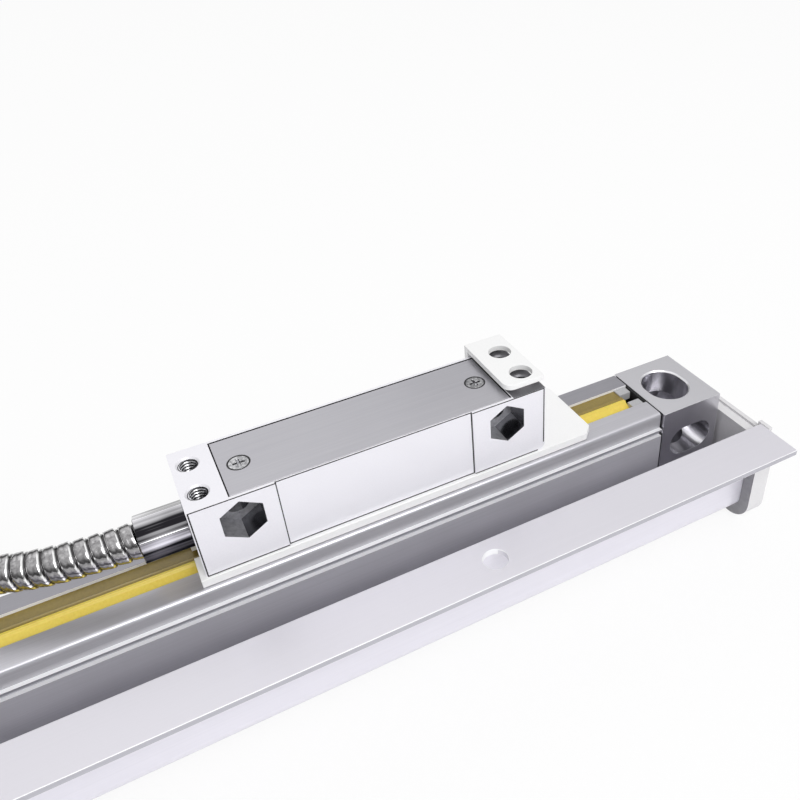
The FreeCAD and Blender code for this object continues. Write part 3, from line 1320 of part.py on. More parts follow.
def parts():
    """Every node by name."""
    made = {
        "scale_housing": scale_housing(),
        "end_block_right": end_block(),
        "end_block_left": mirrored_x(end_block()),
        "end_gasket_right": end_gasket(),
        "end_gasket_left": mirrored_x(end_gasket()),
        "end_block_screws_right": block_screws(1),
        "end_block_screws_left": block_screws(-1),
        "seal_lip_front": seal_lip(-1),
        "seal_lip_rear": seal_lip(1),
        "lip_clips_front": lip_clips(-1),
        "lip_clips_rear": lip_clips(1),
        "glass_scale": glass_scale(),
        "glass_bond": glass_bond(),
        "cover_channel": cover_channel(),
        "cover_end_cap_right": cover_end_cap(),
        "cover_end_cap_left": mirrored_x(cover_end_cap()),
        "reader_body": reader_body(),
        "reader_cover_plate": reader_cover_plate(),
        "reader_gasket": reader_gasket(),
        "cover_plate_screws": plate_screws(),
        "signal_board": reader_pcb(),
        "signal_board_posts": pcb_posts(),
        "signal_board_chips": pcb_chips(),
        "cable_gland": cable_gland(),
        "shipping_bracket": shipping_bracket(),
        "reader_blade": blade(),
        "blade_screws": foot_screws(),
        "coupling_spring": coupling_spring(),
        "scanning_carriage": scanning_carriage(),
        "bearing_pins": bearing_pins(),
        "light_source": light_source(),
        "collimator_lens": collimator_lens(),
        "index_grating": index_grating(),
        "photodetector": photodetector(),
        "detector_board": detector_board(),
        "signal_ribbon": signal_ribbon(),
        "conduit_run": cable_tube(CABLE_RUN),
        "conduit_coil": conduit_coil(),
        "conduit_tail": cable_tube(CABLE_TAIL),
        "coil_tie": coil_tie(),
        "plug_hood_upper": plug_hood(True),
        "plug_hood_lower": plug_hood(False),
        "plug_hood_screws": hood_screws(),
        "plug_shell": plug_shell(),
        "plug_insert": plug_insert(),
        "plug_contacts": plug_contacts(),
        "plug_thumbscrew_left": thumbscrew(-1),
        "plug_thumbscrew_right": thumbscrew(1),
    }
    for index in range(len(bearing_axes())):
        made["carriage_bearing_%d" % (index + 1)] = carriage_bearing(index)
    return made


def main():
    """Writes one STEP file per node."""
    os.makedirs("parts", exist_ok=True)
    for name, shape in parts().items():
        shape.exportStep("parts/%s.step" % name)
        report = (name, len(shape.Solids), shape.isValid(), shape.Volume)
        print("%-26s solids %d valid %s volume %.1f" % report)


main()
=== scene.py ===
"""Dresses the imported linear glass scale.

Adds its finishes, sealing lips, threads, armoured cable, floor, lights and camera. Everything is in metres in
the row's frame: +X along the scale, +Y to the back, +Z up.
"""

import logging
import math
from dataclasses import dataclass, replace
from enum import Enum
from functools import cache
from typing import Optional, Sequence

import bmesh
import bpy
import numpy as np
from bpy.types import ID, Material, Mesh, Node, NodeSocket, NodeTree, Object
from mathutils import Matrix, Vector


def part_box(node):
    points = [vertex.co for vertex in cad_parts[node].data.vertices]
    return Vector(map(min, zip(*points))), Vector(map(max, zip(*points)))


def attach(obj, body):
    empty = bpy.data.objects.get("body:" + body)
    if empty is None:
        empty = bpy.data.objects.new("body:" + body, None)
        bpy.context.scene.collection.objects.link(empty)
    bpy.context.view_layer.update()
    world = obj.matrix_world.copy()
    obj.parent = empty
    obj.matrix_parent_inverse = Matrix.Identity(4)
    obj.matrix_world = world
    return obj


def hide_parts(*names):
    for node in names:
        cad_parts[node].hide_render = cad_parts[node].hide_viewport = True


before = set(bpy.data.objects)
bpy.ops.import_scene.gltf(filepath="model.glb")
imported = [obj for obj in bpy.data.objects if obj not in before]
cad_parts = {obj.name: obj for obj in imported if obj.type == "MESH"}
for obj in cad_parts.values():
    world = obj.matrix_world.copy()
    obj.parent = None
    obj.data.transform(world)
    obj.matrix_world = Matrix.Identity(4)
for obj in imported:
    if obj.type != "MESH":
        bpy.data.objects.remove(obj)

LOG = logging.getLogger("scene")
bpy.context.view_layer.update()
MM = 0.001
INF = math.inf
# A drawn mark is this many times as long as it is wide
DRAWN_STRETCH = 120
# Slow cloudiness about 14 mm wide, as handling and uneven treatment leave it, and its share of the pattern
CLOUDS_PER_METRE = 70.0
CLOUD_SHARE = 0.35
# How far each of a finish's two colours lies from the pattern's middle, at a contrast of 1
RAMP_HALF = 0.2
# Where the rim's painted highlight and then the furrow's painted shade come in, along the furrow attribute
RIM_SPAN = (0.2, 0.5)
FURROW_SPAN = (0.55, 0.9)
# The limits of any roughness
SMOOTHEST, ROUGHEST = 0.02, 1.0
# Points nearer than this are one, faces within FLAT_DEGREES are one flat area, and past SHARP_DEGREES an edge
# is sharp, and eased
SAME_POINT = 0.001 * MM
FLAT_DEGREES = 0.6
SHARP_DEGREES = 30.0
Pair = tuple[float, float]
Triple = tuple[float, float, float]
# Limits: none, and those of a normal that stands squarely along an axis or against it
ANY: Pair = (-INF, INF)
ALONG: Pair = (0.9, INF)
AGAINST: Pair = (-INF, -0.9)


class Grain(Enum):
    """How a surface was made, which decides its pattern."""

    BLASTED = "shot-blasted"
    DRAWN = "extruded, rolled or brushed along X"
    MOULDED = "moulded in a fine-sparked tool"
    PLAIN = "ground, plated or polished"
    RUBBER = "moulded elastomer"


@dataclass(frozen=True)
class Finish:
    """One real material and how its surface was made.

    colour and shade are sRGB hex values between which the surface varies, contrast how sharply it goes from
    one to the other, grain_mm the size of its pattern's marks, relief_mm their height, and spread how far
    the roughness varies. Where furrow and rim are set, the mesh's furrow attribute (0 on a rib, 0.5 on its
    rim, 1 between ribs) brings them in: furrow is the colour of painted shade between ribs, rim that of a
    painted highlight on each rim.
    """

    name: str
    colour: str
    shade: str
    grain: Grain
    metallic: float = 0.0
    roughness: float = 0.5
    spread: float = 0.08
    grain_mm: float = 0.5
    relief_mm: float = 0.01
    coat: float = 0.0
    transmission: float = 0.0
    ior: Optional[float] = None
    subsurface: float = 0.0
    furrow: str = ""
    rim: str = ""
    contrast: float = 1.0


@dataclass(frozen=True)
class Region:
    """The faces whose middle and normal keep within limits on each axis, in metres and parts of one."""

    x: Pair = ANY
    y: Pair = ANY
    z: Pair = ANY
    turn_x: Pair = ANY
    turn_y: Pair = ANY
    turn_z: Pair = ANY

    def holds(self, middles: np.ndarray, normals: np.ndarray) -> np.ndarray:
        """Which faces lie in the region.

        Args:
            middles: Their middles, one per row.
            normals: Their normals, one per row.

        Returns:
            True for each face that does.
        """
        low, high = np.array([self.x, self.y, self.z, self.turn_x, self.turn_y, self.turn_z]).T
        values = np.hstack([middles, normals])
        return ((values > low) & (values < high)).all(axis=1)


def around(middle: float, reach: float) -> Pair:
    """The limits one reach to either side of a middle."""
    return (middle - reach, middle + reach)


def whole_turn(count: int) -> np.ndarray:
    """Evenly spaced angles round one turn, in radians."""
    return np.linspace(0, 2 * np.pi, count, endpoint=False)


def linear(colour: str) -> tuple[float, float, float, float]:
    """Turns an sRGB hex value into linear red, green, blue and alpha.

    Args:
        colour: A value such as "#c0c0c0".

    Returns:
        The four linear channels.
    """
    parts = np.array([int(colour[k : k + 2], 16) / 255 for k in (1, 3, 5)])
    low = parts / 12.92
    high = ((parts + 0.055) / 1.055) ** 2.4
    return (*np.where(parts <= 0.04045, low, high).tolist(), 1.0)


def empty_tree(owner: ID) -> NodeTree:
    """Gives a material or a world an empty node tree.

    Args:
        owner: The material or the world.

    Returns:
        Its tree.
    """
    owner.use_nodes = True
    owner.node_tree.nodes.clear()
    return owner.node_tree


def add_node(
    tree: NodeTree, kind: str, settings: Optional[dict] = None, links: Optional[dict] = None
) -> Node:
    """Adds one shader node.

    Args:
        tree: The material's node tree.
        kind: The node's type name, without ShaderNode.
        settings: Values by attribute name, or by input name or number.
        links: Sockets to join, or nodes whose first output is meant, by input name or number.

    Returns:
        The new node.
    """
    node = tree.nodes.new("ShaderNode" + kind)
    for key, value in (settings or {}).items():
        if isinstance(key, str) and hasattr(node, key):
            setattr(node, key, value)
        else:
            node.inputs[key].default_value = value
    for key, source in (links or {}).items():
        tree.links.new(source.outputs[0] if isinstance(source, Node) else source, node.inputs[key])
    return node


def stretched_scale(finish: Finish) -> Triple:
    """The pattern's repeats per metre on each axis: a drawn finish has long marks along X."""
    fine = 1.0 / (finish.grain_mm * MM)
    return (fine / DRAWN_STRETCH if finish.grain is Grain.DRAWN else fine, fine, fine)


def furrowed(tree: NodeTree, base: NodeSocket, finish: Finish) -> NodeSocket:
    """Lays a painted highlight on a rib's rim and painted shade in the furrow between ribs over a base
    colour.

    Args:
        tree: The material's node tree.
        base: The socket of the rib's own colour.
        finish: The finish that names both colours.

    Returns:
        The socket of the joined colour.
    """
    depth = add_node(tree, "Attribute", {"attribute_name": "furrow"}).outputs["Fac"]
    for (start, end), colour in ((RIM_SPAN, finish.rim), (FURROW_SPAN, finish.furrow)):
        share = add_node(tree, "MapRange", {"From Min": start, "From Max": end}, {"Value": depth})
        mixed = add_node(tree, "Mix", {"data_type": "RGBA", 7: linear(colour)}, {0: share, 6: base})
        base = mixed.outputs[2]
    return base


@cache
def make_material(finish: Finish) -> Material:
    """Builds a finish's shader once: a pattern in Object coordinates drives colour, roughness and relief.

    Args:
        finish: The material to build.

    Returns:
        The material.
    """
    material = bpy.data.materials.new(finish.name)
    tree = empty_tree(material)
    place = add_node(tree, "TexCoord").outputs["Object"]
    fit = add_node(tree, "Mapping", {"Scale": stretched_scale(finish)}, {"Vector": place})
    fine = add_node(tree, "TexNoise", {"Scale": 1.0, "Detail": 3.0, "Roughness": 0.6}, {"Vector": fit})
    cloud = add_node(
        tree, "TexNoise", {"Scale": CLOUDS_PER_METRE, "Detail": 2.0, "Roughness": 0.5}, {"Vector": place}
    )
    blend = add_node(tree, "Mix", {"data_type": "FLOAT", 0: CLOUD_SHARE}, {2: fine, 3: cloud})
    ramp = add_node(tree, "ValToRGB", None, {"Fac": blend})
    for element, away, colour in zip(
        ramp.color_ramp.elements, (-RAMP_HALF, RAMP_HALF), (finish.shade, finish.colour)
    ):
        element.position = 0.5 + away / finish.contrast
        element.color = linear(colour)
    rough = add_node(
        tree, "MapRange",
        {
            "From Min": 0.25, "From Max": 0.75,
            "To Min": max(SMOOTHEST, finish.roughness - finish.spread),
            "To Max": min(ROUGHEST, finish.roughness + finish.spread),
        },
        {"Value": blend},
    )
    bump = add_node(tree, "Bump", {"Strength": 1.0, "Distance": finish.relief_mm * MM}, {"Height": fine})
    settings = {
        "Metallic": finish.metallic, "Coat Weight": finish.coat, "Coat Roughness": 0.15,
        "Transmission Weight": finish.transmission, "Subsurface Weight": finish.subsurface,
        "Subsurface Scale": 0.8 * MM,
    }
    if finish.ior is not None:
        settings["IOR"] = finish.ior
    colour = furrowed(tree, ramp.outputs[0], finish) if finish.furrow else ramp
    shader = add_node(
        tree, "BsdfPrincipled", settings, {"Base Color": colour, "Roughness": rough, "Normal": bump}
    )
    add_node(tree, "OutputMaterial", None, {"Surface": shader})
    return material


# Real die lines, brushing and blasting are 0.02 to 0.1 mm wide. They are drawn at 0.2 to 0.6 mm, or they
# wouldn't show in the picture.
# Clear-anodised 6063 extrusion: grey, satin, with faint die lines along its length
ANODISED_PROFILE = Finish(
    "anodised_aluminium_extruded", "#cccbd1", "#bdbcc2", Grain.DRAWN, 0.75, 0.36, 0.06, 0.3, 0.003
)
# Painted highlight: the same extrusion, almost white, on its narrow lands, its eased edges, the slot wall and
# the cover's bend and hole walls
LAND_PAINTED_HIGHLIGHT = Finish(
    "aluminium_land_painted_highlight", "#fafafc", "#f0f0f3", Grain.DRAWN, 0.1, 0.35, 0.05, 0.3, 0.001
)
# Anodised aluminium block, ground: even and half glossy, so it mirrors dark walls
ANODISED_BLOCK = Finish(
    "anodised_aluminium_block", "#dad9de", "#d5d4d9", Grain.PLAIN, 1.0, 0.27, 0.0, 0.3, 0.0
)
# The extrusion's upper front band: a darker copy of its finish, painted shade
BAND_PAINTED_SHADE = Finish(
    "anodised_aluminium_band_painted_shade", "#bbbabf", "#adacb1", Grain.DRAWN, 0.3, 0.34, 0.06, 0.3, 0.002
)
# Its rear top strip: darker
REAR_STRIP = Finish("anodised_aluminium_rear", "#a3a2a8", "#94939a", Grain.DRAWN, 0.6, 0.36, 0.06, 0.3, 0.002)
# Its lower front: a lighter, less metallic copy of its finish, painted light
FRONT_PAINTED_LIGHT = Finish(
    "anodised_aluminium_front_painted_light", "#cdccd3", "#c2c1c7", Grain.DRAWN, 0.35, 0.34, 0.06, 0.3, 0.002
)
# Painted highlight on the end blocks' top rims: bright metal
RIM_PAINTED_HIGHLIGHT = Finish("aluminium_rim_painted_highlight", "#f6f6f8", "#e6e6ea", Grain.PLAIN, 0.6, 0.2, 0.05, 0.3, 0.001)
# Fine-blasted and clear-anodised head: almost white and soft
READER_METAL = Finish(
    "blasted_anodised_aluminium", "#f1f0f5", "#eae9ef", Grain.BLASTED, 0.15, 0.42, 0.05, 0.25, 0.004
)
# The head's top under the bracket's flange: painted shade of the flange
FLANGE_PAINTED_SHADE = Finish(
    "anodised_aluminium_flange_painted_shade", "#7d7c80", "#68676b", Grain.BLASTED, 0.4, 0.4, 0.05, 0.25, 0.004
)
# Bores and pockets of the head: as drilled, darkened with painted shade
BORE_PAINTED_SHADE = Finish(
    "drilled_aluminium_painted_shade", "#a6a6aa", "#77777c", Grain.PLAIN, 1.0, 0.2, 0.06, 3.0, 0.002, contrast=0.7
)
# Painted light on the pockets' bases and the facets that face the lamps
FACET_PAINTED_LIGHT = Finish(
    "aluminium_facet_painted_light", "#c9c9ce", "#8e8e93", Grain.PLAIN, 0.5, 0.3, 0.06, 1.0, 0.003
)
# Cut threads: painted highlight on the crests and painted shade in the roots
THREAD_PAINTED_LIGHT_SHADE = Finish(
    "tapped_aluminium_painted_light_shade", "#8e8e93", "#77777c", Grain.PLAIN, 1.0, 0.22, 0.05, 0.5, 0.002,
    furrow="#0e0e10", rim="#e6e6ea",
)
# Painted shade in close joints and gaps: thin black lines
SEAM_PAINTED_SHADE = Finish(
    "seam_painted_shade_black", "#1c1c1e", "#131314", Grain.RUBBER, 0.0, 0.6, 0.06, 0.4, 0.004, ior=1.5
)
# The cap's inner rim face, greyed with painted shade
CAP_PAINTED_SHADE = Finish(
    "moulded_abs_painted_shade_grey", "#97969a", "#7c7b80", Grain.MOULDED, 0.0, 0.4, 0.06, 1.5, 0.004, ior=1.53
)
# Brushed sheet: grey, with fine lines along it
PLATE_METAL = Finish(
    "brushed_aluminium_sheet", "#b9b8bd", "#adacb2", Grain.DRAWN, 0.7, 0.4, 0.04, 0.2, 0.0007
)
# Clear-anodised bent sheet: bright, with faint rolling lines
COVER_METAL = Finish(
    "anodised_aluminium_sheet", "#dcdae1", "#d9d7de", Grain.DRAWN, 0.3, 0.42, 0.04, 0.5, 0.0006
)
# Painted shade along its front edge: a greyer line
EDGE_PAINTED_SHADE = Finish("aluminium_edge_painted_shade", "#bdbcc4", "#b2b1b9", Grain.DRAWN, 0.3, 0.4, 0.05, 0.4, 0.001)
# Its front wall: a paler copy of its finish, painted light
WALL_PAINTED_LIGHT = Finish(
    "anodised_aluminium_wall_painted_light", "#eae8f1", "#e4e2eb", Grain.DRAWN, 0.25, 0.36, 0.04, 0.5, 0.0006
)
# Yellow polyurethane seal: smooth, slightly translucent
LIP_ELASTOMER = Finish(
    "moulded_polyurethane_yellow", "#ecd561", "#e0c64e", Grain.RUBBER, 0.0, 0.4, 0.06, 0.6, 0.008, ior=1.5,
    subsurface=0.1,
)
# The rear lip: the same seal, browned with painted shade
LIP_PAINTED_SHADE = Finish(
    "moulded_polyurethane_painted_shade", "#93803f", "#7f6d34", Grain.RUBBER, 0.0, 0.35, 0.08, 0.6, 0.008, ior=1.5,
)
# Moulded polyamide of the bracket, finely sparked: white and softly matt
BRACKET_WHITE = Finish(
    "moulded_polyamide_white", "#f7f7f7", "#f1f1f1", Grain.MOULDED, 0.0, 0.45, 0.06, 0.35, 0.006, ior=1.53
)
# Moulded ABS caps: pale grey, softly matt
CAP_GREY = Finish(
    "moulded_abs_pale_grey", "#e3e2e4", "#d9d8da", Grain.MOULDED, 0.0, 0.42, 0.06, 0.35, 0.006, ior=1.53
)
# Moulded acetal clips: grey and waxy
CLIP_GREY = Finish(
    "moulded_acetal_grey", "#b9b9bb", "#aaaaad", Grain.MOULDED, 0.0, 0.42, 0.05, 0.3, 0.006, ior=1.48
)
# Nickel and chrome over brass: mirror-like, in long light and dark streaks along X
CHROME = Finish(
    "chromed_brass_polished", "#e4e3e7", "#28272b", Grain.DRAWN, 1.0, 0.08, 0.04, 2.0, 0.003, contrast=2.6
)
# Turned stainless screws: bright, with dark patches
SCREW_STEEL = Finish(
    "turned_stainless_steel", "#c6c6c8", "#78787b", Grain.PLAIN, 1.0, 0.22, 0.08, 0.6, 0.006, contrast=1.8
)
# Wound stainless strip: a glossy grey rib, with a white painted highlight on its rim and painted shade in the
# dark furrow
CONDUIT_STEEL = Finish(
    "wound_stainless_strip", "#bbbabb", "#727072", Grain.PLAIN, 1.0, 0.17, 0.05, 0.8, 0.002,
    furrow="#4c4b4c", rim="#ffffff", contrast=1.2,
)
# Ground steel of the blade and its spring: grey, finely lined
SPRING_STEEL = Finish("ground_spring_steel", "#a3a4a6", "#919294", Grain.DRAWN, 1.0, 0.25, 0.06, 0.15, 0.002)
# Ground bearing steel: bright and smooth
BEARING_STEEL = Finish("ground_bearing_steel", "#bdbdc0", "#ababae", Grain.PLAIN, 1.0, 0.16, 0.04, 0.3, 0.001)
# Die-cast and blasted: dark, rough metal
CAST_CARRIAGE = Finish(
    "die_cast_aluminium_dark", "#77787b", "#66676a", Grain.BLASTED, 0.8, 0.5, 0.08, 0.5, 0.02
)
# Gaskets and the glass's seat: matt black
BLACK_RUBBER = Finish(
    "nitrile_rubber_black", "#232324", "#1a1a1b", Grain.RUBBER, 0.0, 0.7, 0.08, 0.4, 0.015, ior=1.52
)
# Lacquered circuit board: green under a thin gloss
BOARD_GREEN = Finish(
    "solder_mask_green", "#1f5a35", "#184a2b", Grain.MOULDED, 0.0, 0.35, 0.06, 0.8, 0.006, ior=1.5, coat=0.4
)
# Chips and headers, moulded in epoxy: matt black
COMPONENT_BLACK = Finish(
    "epoxy_moulded_black", "#2a2a2c", "#202022", Grain.MOULDED, 0.0, 0.5, 0.06, 0.2, 0.008, ior=1.54
)
# The ribbon's rolled film: glossy amber
RIBBON_AMBER = Finish(
    "polyimide_film_amber", "#b4722a", "#a0611d", Grain.DRAWN, 0.0, 0.3, 0.05, 0.3, 0.002, ior=1.7
)
# Polished scale, lens and grating: clear
OPTIC_GLASS = Finish(
    "polished_optical_glass", "#f4fbfa", "#eef7f6", Grain.PLAIN, 0.0, 0.04, 0.01, 2.0, 0.0,
    transmission=0.9, ior=1.52
)
# The plug's moulded hood, sparked: matt black
HOOD_BLACK = Finish(
    "moulded_abs_black", "#2b2b2d", "#222224", Grain.MOULDED, 0.0, 0.5, 0.06, 0.4, 0.012, ior=1.53
)
# Drawn and tin-plated: pale, softly bright
SHELL_TIN = Finish("tin_plated_steel", "#c3c3c1", "#b1b1af", Grain.PLAIN, 1.0, 0.28, 0.06, 0.6, 0.002)
# Turned and gold-plated: warm and bright
CONTACT_GOLD = Finish("gold_plated_bronze", "#e0b860", "#d0a54a", Grain.PLAIN, 1.0, 0.18, 0.04, 0.4, 0.001)
# The moulded tie: black, half glossy
TIE_BLACK = Finish(
    "moulded_polyamide_black", "#1e1e1f", "#161617", Grain.MOULDED, 0.0, 0.4, 0.05, 0.5, 0.008, ior=1.53
)


def add_object(name: str, data: ID) -> Object:
    """Puts a new object into the scene.

    Args:
        name: Its name.
        data: Its mesh, curve, lamp or camera.

    Returns:
        The object.
    """
    obj = bpy.data.objects.new(name, data)
    bpy.context.scene.collection.objects.link(obj)
    return obj


def smooth_by_angle(mesh: Mesh, degrees: float) -> None:
    """Smooths a mesh's faces, and keeps the edges that turn by more than these degrees sharp."""
    mesh.polygons.foreach_set("use_smooth", np.ones(len(mesh.polygons), bool))
    mesh.set_sharp_from_angle(angle=math.radians(degrees))


def paint(obj: Object, finish: Finish) -> None:
    """Gives the whole of an object one finish."""
    obj.data.materials.clear()
    obj.data.materials.append(make_material(finish))


def mark_furrow(obj: Object, depth: np.ndarray) -> None:
    """Writes a piece's furrow attribute: for each point 0 on a rib, 0.5 on its rim and 1 between ribs."""
    furrow = obj.data.attributes.new("furrow", "FLOAT", "POINT")
    furrow.data.foreach_set("value", depth.astype(np.float32))


@dataclass
class Assembly:
    """A sub-assembly on one body of the frame, which dresses CAD nodes and adds pieces to them."""

    body: str

    def eased(
        self, node: str, finish: Finish, slot: str, edge_mm: float = 0.15, segments: int = 2,
        edge_finish: Optional[Finish] = None,
    ) -> Object:
        """Replaces a rigid node by a copy of its mesh with eased edges.

        The copy is the node's own surface with doubled points merged and flat areas joined, and a bevel
        of edge_mm runs along every edge that turns by more than SHARP_DEGREES.

        Args:
            node: The CAD node.
            finish: Its material.
            slot: Not used.
            edge_mm: The width of the eased edge.
            segments: The number of strips across it.
            edge_finish: The eased edges' own finish, where they have one.

        Returns:
            The new piece.
        """
        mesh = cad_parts[node].data.copy()
        mesh.name = node + "_eased"
        work = bmesh.new()
        work.from_mesh(mesh)
        bmesh.ops.remove_doubles(work, verts=work.verts, dist=SAME_POINT)
        bmesh.ops.dissolve_limit(
            work, angle_limit=math.radians(FLAT_DEGREES), verts=work.verts, edges=work.edges,
            use_dissolve_boundaries=False,
        )
        work.to_mesh(mesh)
        work.free()
        piece = add_object(node + "_eased", mesh)
        smooth_by_angle(mesh, SHARP_DEGREES)
        bevel = piece.modifiers.new("eased_edges", "BEVEL")
        bevel.width = edge_mm * MM
        bevel.segments = segments
        bevel.limit_method = "ANGLE"
        bevel.angle_limit = math.radians(SHARP_DEGREES)
        bevel.use_clamp_overlap = True
        bevel.miter_outer = "MITER_ARC"
        flat = piece.modifiers.new("flat_faces", "WEIGHTED_NORMAL")
        flat.mode = "FACE_AREA"
        flat.weight = 100
        flat.keep_sharp = True
        paint(piece, finish)
        if edge_finish is not None:
            mesh.materials.append(make_material(edge_finish))
            bevel.material = 1
        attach(piece, self.body)
        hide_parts(node)
        LOG.info("eased %s", node)
        return piece

    def part_across(self, piece: Object, x: float) -> None:
        """Divides a piece's faces along a plane across X, so that each side can have its own finish.

        Args:
            piece: The piece.
            x: Where the plane stands.
        """
        work = bmesh.new()
        work.from_mesh(piece.data)
        everything = list(work.verts) + list(work.edges) + list(work.faces)
        bmesh.ops.bisect_plane(work, geom=everything, dist=SAME_POINT, plane_co=(x, 0, 0), plane_no=(1, 0, 0))
        work.to_mesh(piece.data)
        work.free()

    def reface(self, piece: Object, finish: Finish, *regions: Region) -> None:
        """Gives some of a piece's faces another finish.

        Args:
            piece: The piece.
            finish: The faces' finish.
            regions: Where they lie.
        """
        mesh = piece.data
        count = len(mesh.polygons)
        middles = np.empty(count * 3)
        normals = np.empty(count * 3)
        numbers = np.empty(count, dtype=np.int32)
        mesh.polygons.foreach_get("center", middles)
        mesh.polygons.foreach_get("normal", normals)
        mesh.polygons.foreach_get("material_index", numbers)
        chosen = np.any([r.holds(middles.reshape(-1, 3), normals.reshape(-1, 3)) for r in regions], axis=0)
        mesh.materials.append(make_material(finish))
        numbers[chosen] = len(mesh.materials) - 1
        mesh.polygons.foreach_set("material_index", numbers)
        LOG.info("refaced %d faces of %s", int(chosen.sum()), piece.name)

    def plain(self, node: str, finish: Finish) -> None:
        """Dresses a CAD node as it is."""
        paint(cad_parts[node], finish)
        LOG.info("dressed %s", node)

    def piece(
        self, name: str, vertices: np.ndarray, faces: Sequence, finish: Finish, slot: str, sharp: float = 40.0
    ) -> Object:
        """Makes a new piece from arrays.

        Args:
            name: The piece's name.
            vertices: Points in metres, one per row.
            faces: Point numbers of each face.
            finish: Its material.
            slot: Not used.
            sharp: The angle past which an edge stays sharp.

        Returns:
            The piece, riding on this assembly's body.
        """
        mesh = bpy.data.meshes.new(name)
        mesh.from_pydata(vertices.tolist(), [], [list(map(int, f)) for f in faces])
        mesh.validate()
        smooth_by_angle(mesh, sharp)
        obj = add_object(name, mesh)
        paint(obj, finish)
        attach(obj, self.body)
        LOG.info("made %s, %d faces", name, len(mesh.polygons))
        return obj


def grid_faces(rows: int, columns: int) -> np.ndarray:
    """Quads of a tube's points, numbered ring by ring.

    Args:
        rows: The number of rings.
        columns: Points round each ring.

    Returns:
        Point numbers, one quad per row.
    """
    i, j = (part.ravel() for part in np.meshgrid(np.arange(rows - 1), np.arange(columns), indexing="ij"))
    k = (j + 1) % columns
    return np.stack([i * columns + j, i * columns + k, (i + 1) * columns + k, (i + 1) * columns + j], axis=1)


def capped_faces(rows: int, columns: int) -> list:
    """The same quads, and one face across each end of the tube."""
    ring = np.arange(columns)
    return [*grid_faces(rows, columns), ring[::-1], (rows - 1) * columns + ring]


@dataclass
class SealLips(Assembly):
    """The two sealing lips, which rise from the slot's edges and meet in a ridge."""

    slot_mid: float = 8.83 * MM
    slot_half: float = 4.225 * MM
    foot_z: float = 31.9 * MM
    ridge_z: float = 33.7 * MM
    thick: float = 0.75 * MM
    bead: float = 0.35 * MM
    bead_at: float = 0.84
    bead_wide: float = 0.055
    meet_gap: float = 0.03 * MM
    foot_deep: float = 1.15 * MM
    root: Pair = (0.0, 1.5 * MM)
    section_points: int = 40
    steps: int = 60

    def section(self, side: int) -> np.ndarray:
        """The lip's closed section.

        With t from 0 at the slot's edge to 1 at the ridge, the top's height is
        foot + rise * t ^ 1.15 + root * (1 - t) ^ 1.3 plus a bell-shaped bead, less 0.4 * bead * t ^ 12,
        which rounds the ridge. The underside is at foot + rise * t ^ 1.15 - thick * (1 - 0.35 * t). The
        rear lip alone has a thick root.

        Args:
            side: -1 for the front lip and 1 for the rear one.

        Returns:
            Points (y, z), anticlockwise seen from +X.
        """
        t = np.linspace(0, 1, self.section_points)
        y = self.slot_half + (self.meet_gap - self.slot_half) * t
        slope = self.foot_z + (self.ridge_z - self.foot_z) * t**1.15
        bead = self.bead * np.exp(-(((t - self.bead_at) / self.bead_wide) ** 2))
        root = self.root[int(side > 0)] * (1 - t) ** 1.3
        top = slope + root + bead - self.bead * 0.4 * t**12
        under = slope - self.thick * (1 - 0.35 * t)
        outer = self.slot_half + self.foot_deep
        loop = np.concatenate([
            [[outer, self.foot_z]], np.stack([y, top], axis=1), np.stack([y, under], axis=1)[::-1],
            [[outer, self.foot_z - self.thick]],
        ])
        loop[:, 0] = self.slot_mid + side * loop[:, 0]
        return loop if side > 0 else loop[::-1]

    def build(self) -> None:
        """Carries both sections straight along X over the length of the CAD lips."""
        # The rear lip gets the painted shade
        for name, side, finish in (("seal_lip_front", -1, LIP_ELASTOMER), ("seal_lip_rear", 1, LIP_PAINTED_SHADE)):
            low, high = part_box(name)
            section = self.section(side)
            points = np.empty((self.steps, len(section), 3))
            points[:, :, 0] = np.linspace(low[0], high[0], self.steps)[:, None]
            points[:, :, 1:] = section
            faces = capped_faces(self.steps, len(section))
            lip = self.piece(name + "_moulded", points.reshape(-1, 3), faces, finish, "lip_elastomer", 50)
            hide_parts(name)


